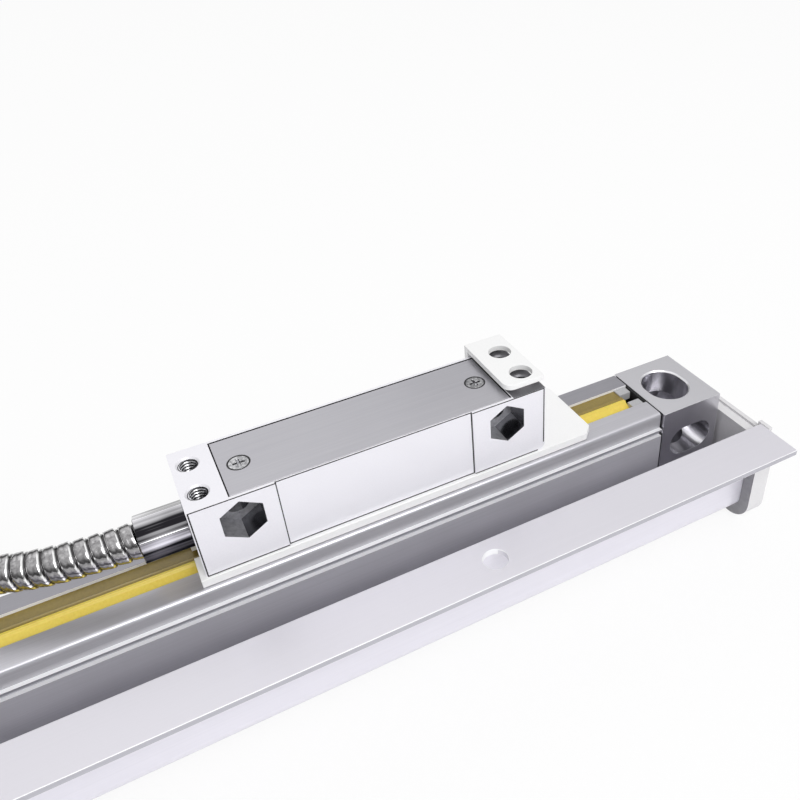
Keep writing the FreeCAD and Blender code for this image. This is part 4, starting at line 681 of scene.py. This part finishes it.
@dataclass
class ScaleSide(Assembly):
    """The fixed side: housing, blocks, glass, clips and cover.

    The sizes bound the faces that get a finish of their own. ledges and each depth go down from a piece's
    top, and front_deep, slot_in, wall_in, flange_edge and flange_holes back from its front. Each turn bounds
    the parts of their normals that get a painted highlight: upwards at a block's rim, back and up on the
    bend, left and up in a hole.
    """

    ledges: Pair = (9.0 * MM, 1.0 * MM)
    front_deep: float = 1.5 * MM
    band_depth: float = 4.2 * MM
    skin: float = 0.1 * MM
    slot_wall: float = 2.6 * MM
    slot_in: float = 2.0 * MM
    rim_depth: float = 1.0 * MM
    cap_rim: float = 0.3 * MM
    bend_depth: float = 4.0 * MM
    wall_in: float = 14.0 * MM
    flange_edge: float = 1.0 * MM
    flange_holes: float = 11.0 * MM
    hole_reach: float = 148.0 * MM
    rim_turn: Pair = (0.6, 0.8)
    bend_turn: Pair = (0.25, 0.15)
    hole_turn: Pair = (0.6, 0.2)

    def build(self) -> None:
        """Dresses every fixed node."""
        self.housing()
        for side in ("left", "right"):
            self.end(side)
        for side in ("front", "rear"):
            self.eased("lip_clips_" + side, CLIP_GREY, "clip_plastic", 0.15)
        self.plain("glass_scale", OPTIC_GLASS)
        self.plain("glass_bond", BLACK_RUBBER)
        self.cover()

    def housing(self) -> None:
        """The extrusion: painted highlight on its ledges and slot wall, painted shade on its upper front
        band, painted light on its lower front, and a darker rear strip.
        """
        # The housing's eased edges get a painted highlight
        housing = self.eased("scale_housing", ANODISED_PROFILE, "anodised_profile", 0.16, 2, LAND_PAINTED_HIGHLIGHT)
        low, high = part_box("scale_housing")
        top, front = high[2], low[1] + self.front_deep
        far, near = (top - depth for depth in self.ledges)
        # Painted highlight on the ledges and slot wall, painted shade on the upper band, painted light on the
        # lower front
        for finish, region in (
            (LAND_PAINTED_HIGHLIGHT, Region(y=(-INF, front), z=(far, near), turn_z=ALONG)),
            (BAND_PAINTED_SHADE, Region(y=(-INF, front), z=(top - self.band_depth, INF), turn_y=AGAINST)),
            (FRONT_PAINTED_LIGHT, Region(y=(-INF, front), z=(-INF, far), turn_y=AGAINST)),
            (REAR_STRIP, Region(y=((low[1] + high[1]) / 2, INF), z=(top - self.skin, INF), turn_z=ALONG)),
            (LAND_PAINTED_HIGHLIGHT, Region(
                y=(front + self.slot_in, INF), z=(top - self.slot_wall, INF), turn_y=AGAINST
            )),
        ):
            self.reface(housing, finish, region)

    def end(self, side: str) -> None:
        """One end of the scale and of the cover: block, gasket, screws and cap.

        Args:
            side: left or right.
        """
        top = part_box("scale_housing")[1][2]
        # The block's eased edges get a painted highlight
        block = self.eased("end_block_" + side, ANODISED_BLOCK, "cast_block", 0.35, 3, LAND_PAINTED_HIGHLIGHT)
        # Painted highlight on the block's top rim
        self.reface(block, RIM_PAINTED_HIGHLIGHT, Region(z=(top - self.rim_depth, top), turn_z=self.rim_turn))
        self.plain("end_gasket_" + side, BLACK_RUBBER)
        self.plain("end_block_screws_" + side, SCREW_STEEL)
        cap = self.eased("cover_end_cap_" + side, CAP_GREY, "cap_plastic", 0.3, 3)
        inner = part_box("cover_end_cap_right")[0][0] + self.cap_rim
        inward = AGAINST if side == "right" else ALONG
        # Painted shade on the cap's inner rim face
        self.reface(cap, CAP_PAINTED_SHADE, Region(x=around(0, inner), turn_x=inward))

    def cover(self) -> None:
        """The cover: painted light on its wall, painted highlight on the bend behind the flange and in the
        flange's holes, and painted shade along its front edge.
        """
        # The cover's eased edges get a painted highlight
        cover = self.eased("cover_channel", COVER_METAL, "cover_aluminium", 0.32, 2, LAND_PAINTED_HIGHLIGHT)
        low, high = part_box("cover_channel")
        front, wall = low[1] + self.flange_edge, (-INF, low[1] + self.wall_in)
        bend = high[2] - self.bend_depth
        holes = (front, low[1] + self.flange_holes)
        back, up = ((least, INF) for least in self.bend_turn)
        # Painted light on the wall, painted highlight on the bend and in the holes, painted shade along the
        # flange's front edge
        for finish, region in (
            (WALL_PAINTED_LIGHT, Region(y=wall, z=(-INF, bend), turn_y=AGAINST)),
            (LAND_PAINTED_HIGHLIGHT, Region(y=wall, z=(bend, INF), turn_y=back, turn_z=up)),
            (LAND_PAINTED_HIGHLIGHT, Region(
                x=around(0, self.hole_reach), y=holes, z=(bend, INF), turn_x=(-self.hole_turn[0], INF),
                turn_z=around(0, self.hole_turn[1]),
            )),
            (EDGE_PAINTED_SHADE, Region(y=(-INF, front), z=(bend, INF), turn_y=AGAINST)),
        ):
            self.reface(cover, finish, region)


@dataclass
class TappedHole:
    """A tapped hole's thread: a helix of ridges on its wall."""

    x: float
    y: float
    top: float
    radius: float = 1.98 * MM
    crest: float = 1.66 * MM
    pitch: float = 0.7 * MM
    depth: float = 4.4 * MM
    wall: float = 0.06 * MM
    lead_in: float = 0.45 * MM
    columns: int = 48
    rows_per_pitch: int = 10

    def surface(self) -> tuple[np.ndarray, np.ndarray, np.ndarray]:
        """The thread's surface.

        At turn angle a and height z the radius swings between root and crest as a triangle wave of
        (z / pitch - a / one turn). A second, plain tube at the hole's wall closes it behind.

        Returns:
            Points, faces, and for each point 0.5 on a crest and 1 at a root.
        """
        rows = int(self.depth / self.pitch * self.rows_per_pitch) + 1
        a = whole_turn(self.columns)
        z = np.linspace(0, self.depth, rows)
        phase = z[:, None] / self.pitch - a[None] / (2 * np.pi)
        wave = np.abs((phase % 1.0) * 2 - 1)
        inner = self.crest + (self.radius - self.wall - self.crest) * wave
        rings = np.concatenate([inner, np.full((2, self.columns), self.radius)])
        heights = np.concatenate([z, z[-1:], z[:1]])
        points = np.empty((rows + 2, self.columns, 3))
        points[:, :, 0] = self.x + rings * np.cos(a)
        points[:, :, 1] = self.y + rings * np.sin(a)
        points[:, :, 2] = (self.top - self.lead_in - heights)[:, None]
        # The last ring joins the first
        faces = grid_faces(rows + 3, self.columns) % ((rows + 2) * self.columns)
        depth = np.concatenate([0.5 + 0.5 * wave, np.ones((2, self.columns))])
        return points.reshape(-1, 3), faces, depth.ravel()


@dataclass
class ReaderSide(Assembly):
    """The moving side: head, bracket, gland and everything inside.

    The head's front is raised by relief over relief_left and relief_right from its ends. A hexagonal pocket
    lies pocket_in from each end and pocket_down from the top, and two tapped holes tap_in from each end and
    tap_half to either side of the middle. Each reach and deep bounds their faces, which get painted shade, as
    the plate's and covered bound the painted shade in the gap round the cover plate and on the metal under
    the bracket's flange. Each turn bounds the parts of their normals: forwards and upwards on a facet with
    painted light, and upwards in a hole and on the shaded metal under the flange.
    """

    relief: float = 0.4 * MM
    relief_left: float = 17.0 * MM
    relief_right: float = 18.1 * MM
    pocket_in: float = 9.7 * MM
    pocket_down: float = 6.2 * MM
    pocket_reach: Pair = (5.1 * MM, 5.0 * MM)
    pocket_deep: Pair = (0.7 * MM, 0.4 * MM)
    tap_in: float = 3.3 * MM
    tap_half: float = 4.7 * MM
    tap_reach: Pair = (2.1 * MM, 6.9 * MM)
    tap_deep: Pair = (5.5 * MM, 0.6 * MM)
    plate_in: float = 8.1 * MM
    plate_edge: float = 0.6 * MM
    plate_deep: Pair = (1.0 * MM, 0.05 * MM)
    covered: float = 8.0 * MM
    covered_deep: float = 0.8 * MM
    lit_turn: Pair = (0.7, 0.3)
    bore_turn: float = 0.9
    covered_turn: float = 0.3
    seam_wide: float = 0.26 * MM
    seam_deep: float = 0.03 * MM
    seam_in: float = 0.22 * MM
    corner: float = 1.9 * MM
    ring_wide: float = 0.28 * MM
    ring_foot: float = 0.05 * MM
    ring_points: int = 48
    skin: float = 0.02 * MM

    def build(self) -> None:
        """Dresses the head's nodes and cuts its threads."""
        head = self.eased("reader_body", READER_METAL, "reader_casting", 0.22, 3)
        low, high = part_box("reader_body")
        bores = self.bores()
        # Painted light on the pockets' bases and their upward facets, but not the right one
        forward, up = self.lit_turn
        lit = [replace(bore, turn_y=(-INF, -forward)) for bore in bores]
        lit += [replace(bore, turn_x=(-up, INF), turn_z=(up, bore.turn_z[1])) for bore in bores]
        # Painted shade in the bores and pockets
        self.reface(head, BORE_PAINTED_SHADE, *bores)
        self.reface(head, FACET_PAINTED_LIGHT, *lit)
        # Painted shade in the gap round the cover plate: black
        self.reface(head, SEAM_PAINTED_SHADE, Region(
            x=(low[0] + self.plate_in, high[0] - self.plate_in),
            y=(low[1] + self.plate_edge, high[1] - self.plate_edge),
            z=(high[2] - self.plate_deep[0], high[2] - self.plate_deep[1]),
        ))
        # Painted shade on the head's top under the bracket's flange
        right = high[0] - self.covered
        self.part_across(head, right)
        self.reface(head, FLANGE_PAINTED_SHADE, Region(
            x=(right, INF), z=(high[2] - self.covered_deep, INF), turn_z=(self.covered_turn, INF)
        ))
        self.eased("reader_cover_plate", PLATE_METAL, "plate_steel", 0.12)
        self.eased("cover_plate_screws", SCREW_STEEL, "steel_screw", 0.08)
        self.eased("shipping_bracket", BRACKET_WHITE, "bracket_plastic", 0.22, 3)
        self.eased("cable_gland", CHROME, "gland_chrome", 0.35, 3)
        self.eased("reader_blade", SPRING_STEEL, "blade_steel", 0.08)
        self.eased("scanning_carriage", CAST_CARRIAGE, "carriage_metal", 0.2)
        for node, finish in (
            ("reader_gasket", BLACK_RUBBER), ("signal_board", BOARD_GREEN), ("detector_board", BOARD_GREEN),
            ("signal_board_posts", COMPONENT_BLACK), ("signal_board_chips", COMPONENT_BLACK),
            ("blade_screws", SCREW_STEEL), ("coupling_spring", SPRING_STEEL), ("bearing_pins", SCREW_STEEL),
            ("light_source", OPTIC_GLASS), ("collimator_lens", OPTIC_GLASS), ("index_grating", OPTIC_GLASS),
            ("photodetector", COMPONENT_BLACK), ("signal_ribbon", RIBBON_AMBER),
        ):
            self.plain(node, finish)
        self.threads()
        self.seams()
        self.screw_rings()

    def bores(self) -> list[Region]:
        """The faces that line the head's pockets, cross holes and tapped holes.

        Returns:
            A region for each pocket and one for each end's two tapped holes.
        """
        low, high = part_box("reader_body")
        regions = []
        for end, inward in ((low[0], 1), (high[0], -1)):
            regions.append(Region(
                x=around(end + inward * self.pocket_in, self.pocket_reach[0]),
                y=(low[1] + self.pocket_deep[0], high[1] - self.pocket_deep[1]),
                z=around(high[2] - self.pocket_down, self.pocket_reach[1]),
            ))
            regions.append(Region(
                x=around(end + inward * self.tap_in, self.tap_reach[0]),
                y=around((low[1] + high[1]) / 2, self.tap_reach[1]),
                z=(high[2] - self.tap_deep[0], high[2] - self.tap_deep[1]), turn_z=around(0, self.bore_turn),
            ))
        return regions

    def seams(self) -> None:
        """Painted shade in the joints round the head's front: its four edges and its two steps.

        Each is a flat strip, wide by seam_wide and deep by seam_deep, that follows the front's own step
        by relief between the raised ends and the middle.
        """
        low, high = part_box("reader_body")
        wide, inset = self.seam_wide, self.seam_in
        left, right = low[0] + self.relief_left, high[0] - self.relief_right
        front, back = low[1], low[1] + self.relief
        lower, upper = (low[2], low[2] + wide), (high[2] - wide, high[2] - self.skin)
        spans = np.array([
            (low[0] + wide, left, front, *lower), (left, right, back, *lower),
            (right, high[0] - self.corner, front, *lower),
            (low[0] + wide, left, front, *upper), (left, right, back, *upper),
            (right, high[0] - wide, front, *upper),
            (left, left + wide, back, low[2], high[2]), (right - wide, right, back, low[2], high[2]),
            (low[0] + inset, low[0] + inset + wide, front, low[2] + wide, high[2] - wide),
            (high[0] - inset - wide, high[0] - inset, front, low[2] + self.corner, high[2] - wide),
        ])
        x0, x1, y, z0, z1 = spans.T
        square = [[0, 0], [1, 0], [1, 1], [0, 1]]
        corners = np.array([[*place, level] for level in (0, 1) for place in square])
        sides = np.array([[3, 2, 1, 0], [4, 5, 6, 7], [0, 1, 5, 4], [1, 2, 6, 5], [2, 3, 7, 6], [3, 0, 4, 7]])
        start = np.stack([x0, y - self.seam_deep, z0], axis=1)[:, None]
        size = np.stack([x1 - x0, np.full(len(y), self.seam_deep + self.skin), z1 - z0], axis=1)[:, None]
        faces = sides + len(corners) * np.arange(len(spans))[:, None, None]
        self.piece(
            "reader_front_seams", (start + corners * size).reshape(-1, 3), faces.reshape(-1, 4), SEAM_PAINTED_SHADE,
            "reader_casting",
        )

    def screw_rings(self) -> None:
        """Painted shade in the gap round each of the cover plate's screw heads: a flat dark ring just over
        the plate.
        """
        low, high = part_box("cover_plate_screws")
        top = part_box("reader_cover_plate")[1][2]
        radius = (high[1] - low[1]) / 2
        a = whole_turn(self.ring_points)
        across = np.array([radius - self.skin, radius - self.skin, radius + self.ring_wide])[:, None]
        height = np.array([top - self.ring_foot, top + self.skin, top + self.skin])[:, None] + 0 * a
        middles = np.array([low[0] + radius, high[0] - radius])
        points = np.concatenate([
            np.stack([x + across * np.cos(a), low[1] + radius + across * np.sin(a), height], axis=2)
            for x in middles
        ])
        ring = grid_faces(len(across), len(a))[:, ::-1]
        faces = np.concatenate([ring + number * height.size for number in range(len(middles))])
        self.piece("cover_screw_gaps", points.reshape(-1, 3), faces, SEAM_PAINTED_SHADE, "plate_steel")

    def threads(self) -> None:
        """One thread in each of the four tapped holes of the head's top."""
        low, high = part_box("reader_body")
        middle = (low[1] + high[1]) / 2
        holes = [
            (x, y) for x in (low[0] + self.tap_in, high[0] - self.tap_in)
            for y in (middle - self.tap_half, middle + self.tap_half)
        ]
        for number, (x, y) in enumerate(holes, 1):
            points, faces, depth = TappedHole(x, y, high[2]).surface()
            thread = self.piece("tap_thread_%d" % number, points, faces, THREAD_PAINTED_LIGHT_SHADE, "reader_casting", 25)
            # The furrow attribute brings in the painted highlight on the crests and the painted shade in the
            # roots
            mark_furrow(thread, depth)


@dataclass
class ArmouredCable(Assembly):
    """The armoured conduit: a run from the gland, a wound store and a tail to the plug.

    The rib's shares are parts of one pitch (ridge), and the ring counts are per pitch.
    """

    diameter: float = 7.5 * MM
    ridge: float = 2.75 * MM
    groove: float = 0.45 * MM
    slope: float = 0.26 * MM
    dip: float = 0.05 * MM
    rim_fall: float = 0.6
    crest_at: float = 0.08
    dip_at: float = 0.33
    dip_wide: float = 0.1
    rib_ends: float = 0.7
    furrow_ends: float = 0.87
    shown: float = 105 * MM
    rings_shown: float = 24
    rings_joint: float = 4
    rings_far: float = 3.7
    columns: int = 20
    probe: float = 0.4 * MM
    run: tuple = (
        (0.0180, 0.00895, 0.0438), (0.0030, 0.00895, 0.0438), (-0.0120, 0.0135, 0.0435),
        (-0.0280, 0.0207, 0.0446), (-0.0440, 0.0267, 0.0432), (-0.0590, 0.0301, 0.0388),
        (-0.0740, 0.0305, 0.0310), (-0.0880, 0.0304, 0.0260),
    )
    tail: tuple = (
        (-0.0817, 0.0586, 0.0270), (-0.0913, 0.0526, 0.0308), (-0.1033, 0.0495, 0.0342),
        (-0.1169, 0.0514, 0.0358), (-0.1277, 0.0576, 0.0360), (-0.1357, 0.0672, 0.0359),
        (-0.1400, 0.0789, 0.0359), (-0.1400, 0.0907, 0.0359),
    )
    centre: tuple = (-0.0980, 0.0794)
    coil_radii: tuple = (0.0490, 0.0414, 0.0338, 0.0262)
    low: float = 0.00375
    high: float = 0.02465
    turns_per_column: float = 2.75
    cross_angle: float = 100.0
    start_angle: float = 8.0
    spare_angle: float = 6.0
    points_per_turn: int = 16

    def coil_points(self) -> np.ndarray:
        """Control points of the store.

        The turn angle grows clockwise seen from above, from 0 at the front. The turns lie in upright
        columns, one inside the next. In each the height goes evenly from one limit to the other, down
        and up in turn. Between two columns the radius eases over cross_angle degrees at one height.

        Returns:
            The points, one per row.
        """
        radii = np.array(self.coil_radii)
        wound = self.turns_per_column * 360
        period = wound + self.cross_angle
        first, last = self.start_angle, len(radii) * period - self.cross_angle - self.spare_angle
        angle = np.linspace(first, last, int((last - first) / 360 * self.points_per_turn))
        column = np.minimum(np.floor(angle / period), len(radii) - 1).astype(int)
        along = angle - column * period
        climb = np.clip(along / wound, 0, 1)
        climb = np.where(column % 2 == 0, 1 - climb, climb)
        cross = np.clip((along - wound) / self.cross_angle, 0, 1)
        cross = cross * cross * (3 - 2 * cross)
        following = radii[np.minimum(column + 1, len(radii) - 1)]
        radius = radii[column] + (following - radii[column]) * cross
        a = np.radians(angle)
        x = self.centre[0] - radius * np.sin(a)
        y = self.centre[1] - radius * np.cos(a)
        return np.stack([x, y, self.low + (self.high - self.low) * climb], axis=1)

    def centreline(self) -> np.ndarray:
        """The cable's line, read from a NURBS spline through its control points.

        Returns:
            Points along the line.
        """
        controls = np.concatenate([np.array(self.run), self.coil_points(), np.array(self.tail)])
        curve = bpy.data.curves.new("cable_route", "CURVE")
        curve.dimensions = "3D"
        spline = curve.splines.new("NURBS")
        spline.points.add(len(controls) - 1)
        flat = np.concatenate([controls, np.ones((len(controls), 1))], axis=1)
        spline.points.foreach_set("co", flat.ravel())
        spline.order_u = 3
        spline.use_endpoint_u = True
        curve.resolution_u = 16
        holder = add_object("cable_route", curve)
        bpy.context.view_layer.update()
        mesh = bpy.data.meshes.new_from_object(holder.evaluated_get(bpy.context.evaluated_depsgraph_get()))
        line = np.empty(len(mesh.vertices) * 3)
        mesh.vertices.foreach_get("co", line)
        bpy.data.objects.remove(holder)
        bpy.data.curves.remove(curve)
        bpy.data.meshes.remove(mesh)
        return line.reshape(-1, 3)

    def ring_places(self, length: float) -> np.ndarray:
        """Distances along the line at which a ring is set: fine where the picture shows the cable.

        Args:
            length: The line's length.

        Returns:
            The distances.
        """
        near = np.arange(0, self.shown, self.ridge / self.rings_shown)
        far = np.arange(near[-1] + self.ridge / self.rings_joint, length, self.ridge / self.rings_far)
        return np.concatenate([near, far[:-1], [length]])

    def profile(self, phase: np.ndarray, shown: np.ndarray) -> tuple[np.ndarray, np.ndarray]:
        """The conduit's radius over one pitch.

        Up to rib_ends the rib's radius falls by slope, as the square of the distance from crest_at, with
        a bell-shaped dip round dip_at. Up to furrow_ends it is the furrow, groove deep, and then the
        strip's folded rim, which rises to the full radius. Past the shown length a plain wave takes over,
        1.6 * sin(pi * phase) ^ 0.8 and at most 1.

        Args:
            phase: The part of a pitch, from 0 to 1.
            shown: Where the line is within the shown length.

        Returns:
            The radius, and 0 on a rib, 0.5 on its rim and 1 in the furrow.
        """
        full = self.diameter / 2
        fall = self.slope * ((phase - self.crest_at) / (self.rib_ends - self.crest_at)) ** 2
        rib = full - fall - self.dip * np.exp(-(((phase - self.dip_at) / self.dip_wide) ** 2))
        rim = full - self.slope * self.rim_fall * (1 - phase) / (1 - self.furrow_ends)
        on_rib, before_rim = phase < self.rib_ends, phase < self.furrow_ends
        fine = np.where(on_rib, rib, np.where(before_rim, full - self.groove, rim))
        valley = 1 - np.clip(1.6 * np.sin(np.pi * phase) ** 0.8, 0, 1)
        depth = np.where(on_rib, 0.0, np.where(before_rim, 1.0, 0.5))
        return np.where(shown, fine, full - self.groove * valley), np.where(shown, depth, valley)

    def tube(self, line: np.ndarray) -> tuple[np.ndarray, np.ndarray]:
        """The conduit's surface.

        At distance s and angle a round the line the phase is s / ridge + a / one turn, less its whole part.

        Args:
            line: The centreline.

        Returns:
            Ring points (rings, columns, 3), and each one's furrow depth.
        """
        s_line = np.concatenate([[0], np.cumsum(np.linalg.norm(np.diff(line, axis=0), axis=1))])
        s = self.ring_places(s_line[-1])
        behind, centre, ahead = (
            np.stack([np.interp(s + shift, s_line, line[:, k]) for k in range(3)], axis=1)
            for shift in (-self.probe, 0, self.probe)
        )
        tangent = ahead - behind
        tangent /= np.linalg.norm(tangent, axis=1)[:, None]
        side = np.cross(tangent, np.array([0.0, 0.0, 1.0]))
        side /= np.linalg.norm(side, axis=1)[:, None]
        up = np.cross(side, tangent)
        a = whole_turn(self.columns)
        phase = (s[:, None] / self.ridge + a[None] / (2 * np.pi)) % 1.0
        radius, depth = self.profile(phase, (s < self.shown)[:, None])
        outward = np.cos(a)[None, :, None] * side[:, None] + np.sin(a)[None, :, None] * up[:, None]
        return centre[:, None] + radius[:, :, None] * outward, depth

    def build(self) -> None:
        """Makes the cable as one piece and dresses its tie and its plug."""
        line = self.centreline()
        rings, depth = self.tube(line)
        faces = [face[::-1] for face in capped_faces(*rings.shape[:2])]
        points = rings.reshape(-1, 3)
        cable = self.piece("armoured_conduit", points, faces, CONDUIT_STEEL, "conduit_steel", 60)
        # The furrow attribute brings in the painted highlight on each rim and the painted shade in each
        # furrow
        mark_furrow(cable, depth.ravel())
        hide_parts("conduit_run", "conduit_coil", "conduit_tail")
        plug = self.plug()

    def plug(self) -> list:
        """Dresses the tie and the plug.

        Returns:
            Every piece that goes with the cable.
        """
        pieces = [
            self.eased("coil_tie", TIE_BLACK, "tie_plastic", 0.2),
            self.eased("plug_hood_upper", HOOD_BLACK, "hood_plastic", 0.5, 3),
            self.eased("plug_hood_lower", HOOD_BLACK, "hood_plastic", 0.5, 3),
            self.eased("plug_hood_screws", SCREW_STEEL, "steel_screw", 0.1),
            self.eased("plug_shell", SHELL_TIN, "shell_steel", 0.12),
        ]
        for node, finish in (("plug_insert", COMPONENT_BLACK), ("plug_contacts", CONTACT_GOLD)):
            self.plain(node, finish)
            pieces.append(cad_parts[node])
        for side in ("left", "right"):
            node = "plug_thumbscrew_" + side
            pieces.append(Assembly(node + "_body").eased(node, SCREW_STEEL, "thumbscrew_steel", 0.15))
        return pieces


@dataclass
class CarriageBearings:
    """The five bearings that roll on the glass."""

    count: int = 5

    def build(self) -> None:
        """Dresses each bearing on its own body."""
        for k in range(1, self.count + 1):
            node = "carriage_bearing_%d" % k
            Assembly(node + "_body").eased(node, BEARING_STEEL, "bearing_steel", 0.08)


@dataclass
class Studio:
    """The floor, the lights and the camera.

    The camera's place, axes and principal point come from the edges fitted in the photograph.
    """

    focus_px: float = 795.8
    frame_px: float = 800.0
    principal: Pair = (472.1, 386.7)
    sensor_mm: float = 36.0
    camera_at: Triple = (0.02491, -0.11994, 0.15502)
    right: Triple = (0.8841, -0.4654, -0.0427)
    down: Triple = (-0.3007, -0.4966, -0.8142)
    ahead: Triple = (0.3577, 0.7327, -0.579)
    floor_half: float = 4.0
    paper: str = "#f6f6f6"
    paper_glow: float = 0.86
    world_light: float = 0.62
    walls: Pair = (0.1, 0.12)
    ceiling: Pair = (0.8, 1.0)
    aim: Triple = (0.06, 0.0, 0.03)
    lamps: tuple = (
        ("key_softbox", (0.15, -0.85, 1.0), 0.8, 9.0),
        ("back_softbox", (0.0, 0.95, 0.95), 1.0, 1.5),
    )

    def camera(self) -> None:
        """The camera at the photograph's viewpoint, with its frame's shift."""
        data = bpy.data.cameras.new("camera")
        data.sensor_width = self.sensor_mm
        data.lens = self.focus_px / self.frame_px * self.sensor_mm
        data.shift_x = 0.5 - self.principal[0] / self.frame_px
        data.shift_y = self.principal[1] / self.frame_px - 0.5
        data.clip_start = 0.01
        data.clip_end = 20.0
        obj = add_object("camera", data)
        turn = Matrix((self.right, tuple(-v for v in self.down), tuple(-v for v in self.ahead))).transposed()
        obj.matrix_world = Matrix.Translation(self.camera_at) @ turn.to_4x4()
        bpy.context.scene.camera = obj

    def any_ray(self, tree: NodeTree, *kinds: str) -> NodeSocket:
        """A socket that is 1 for rays of the named kinds.

        Args:
            tree: The node tree.
            kinds: Their names in the light path node.

        Returns:
            The socket.
        """
        path = add_node(tree, "LightPath")
        either = path.outputs[kinds[0]]
        for kind in kinds[1:]:
            most = add_node(tree, "Math", {"operation": "MAXIMUM"}, {0: either, 1: path.outputs[kind]})
            either = most.outputs[0]
        return either

    def floor(self) -> None:
        """A wide paper floor that keeps the object's shadow and has a share of its own light when seen."""
        half = self.floor_half
        mesh = bpy.data.meshes.new("floor")
        corners = [(-half, -half, 0), (half, -half, 0), (half, half, 0), (-half, half, 0)]
        mesh.from_pydata(corners, [], [(0, 1, 2, 3)])
        obj = add_object("floor", mesh)
        material = bpy.data.materials.new("white_paper_sweep")
        tree = empty_tree(material)
        paper = add_node(tree, "BsdfDiffuse", {"Color": linear(self.paper)})
        glow = add_node(tree, "Emission", {"Color": (1, 1, 1, 1), "Strength": 1.0})
        seen = self.any_ray(tree, "Is Camera Ray", "Is Glossy Ray", "Is Transmission Ray")
        share = add_node(tree, "Math", {"operation": "MULTIPLY", 1: self.paper_glow}, {0: seen})
        both = add_node(tree, "MixShader", None, {0: share, 1: paper, 2: glow})
        add_node(tree, "OutputMaterial", None, {"Surface": both})
        obj.data.materials.append(material)

    def world(self) -> None:
        """A plain surrounding: white to the camera, softer as light, and darker low down in reflections.

        In metal it is white overhead and darkens towards the horizon, as a studio's ceiling and its
        unlit walls do. walls and ceiling each give a height and the strength there.
        """
        world = bpy.data.worlds.new("studio")
        tree = empty_tree(world)
        place = add_node(tree, "TexCoord").outputs["Generated"]
        split = add_node(tree, "SeparateXYZ", None, {0: place})
        height = add_node(
            tree, "MapRange",
            {
                "interpolation_type": "SMOOTHSTEP", "From Min": self.walls[0], "From Max": self.ceiling[0],
                "To Min": self.walls[1], "To Max": self.ceiling[1],
            },
            {"Value": split.outputs["Z"]},
        )
        white = {"Color": (1, 1, 1, 1)}
        seen = add_node(tree, "Background", white | {"Strength": 1.0})
        light = add_node(tree, "Background", white | {"Strength": self.world_light})
        mirrored = add_node(tree, "Background", white, {"Strength": height})
        glossy = self.any_ray(tree, "Is Glossy Ray")
        lit = add_node(tree, "MixShader", None, {0: glossy, 1: light, 2: mirrored})
        clear = self.any_ray(tree, "Is Camera Ray", "Is Transmission Ray")
        both = add_node(tree, "MixShader", None, {0: clear, 1: lit, 2: seen})
        add_node(tree, "OutputWorld", None, {"Surface": both})
        bpy.context.scene.world = world

    def build(self) -> None:
        """Sets up the whole studio. Each lamp is a square one that faces the aimed point."""
        self.camera()
        self.floor()
        self.world()
        for name, place, size, watts in self.lamps:
            data = bpy.data.lights.new(name, "AREA")
            data.shape = "SQUARE"
            data.size = size
            data.energy = watts
            lamp = add_object(name, data)
            lamp.location = place
            lamp.rotation_euler = (Vector(self.aim) - Vector(place)).to_track_quat("-Z", "Y").to_euler()
        bpy.context.scene.view_settings.view_transform = "Standard"


def main() -> None:
    """Builds every sub-assembly in order."""
    logging.basicConfig(level=logging.INFO, format="%(message)s")
    ScaleSide("scale").build()
    SealLips("scale").build()
    ReaderSide("reader").build()
    ArmouredCable("reader").build()
    CarriageBearings().build()
    Studio().build()


if __name__ == "__main__":
    main()
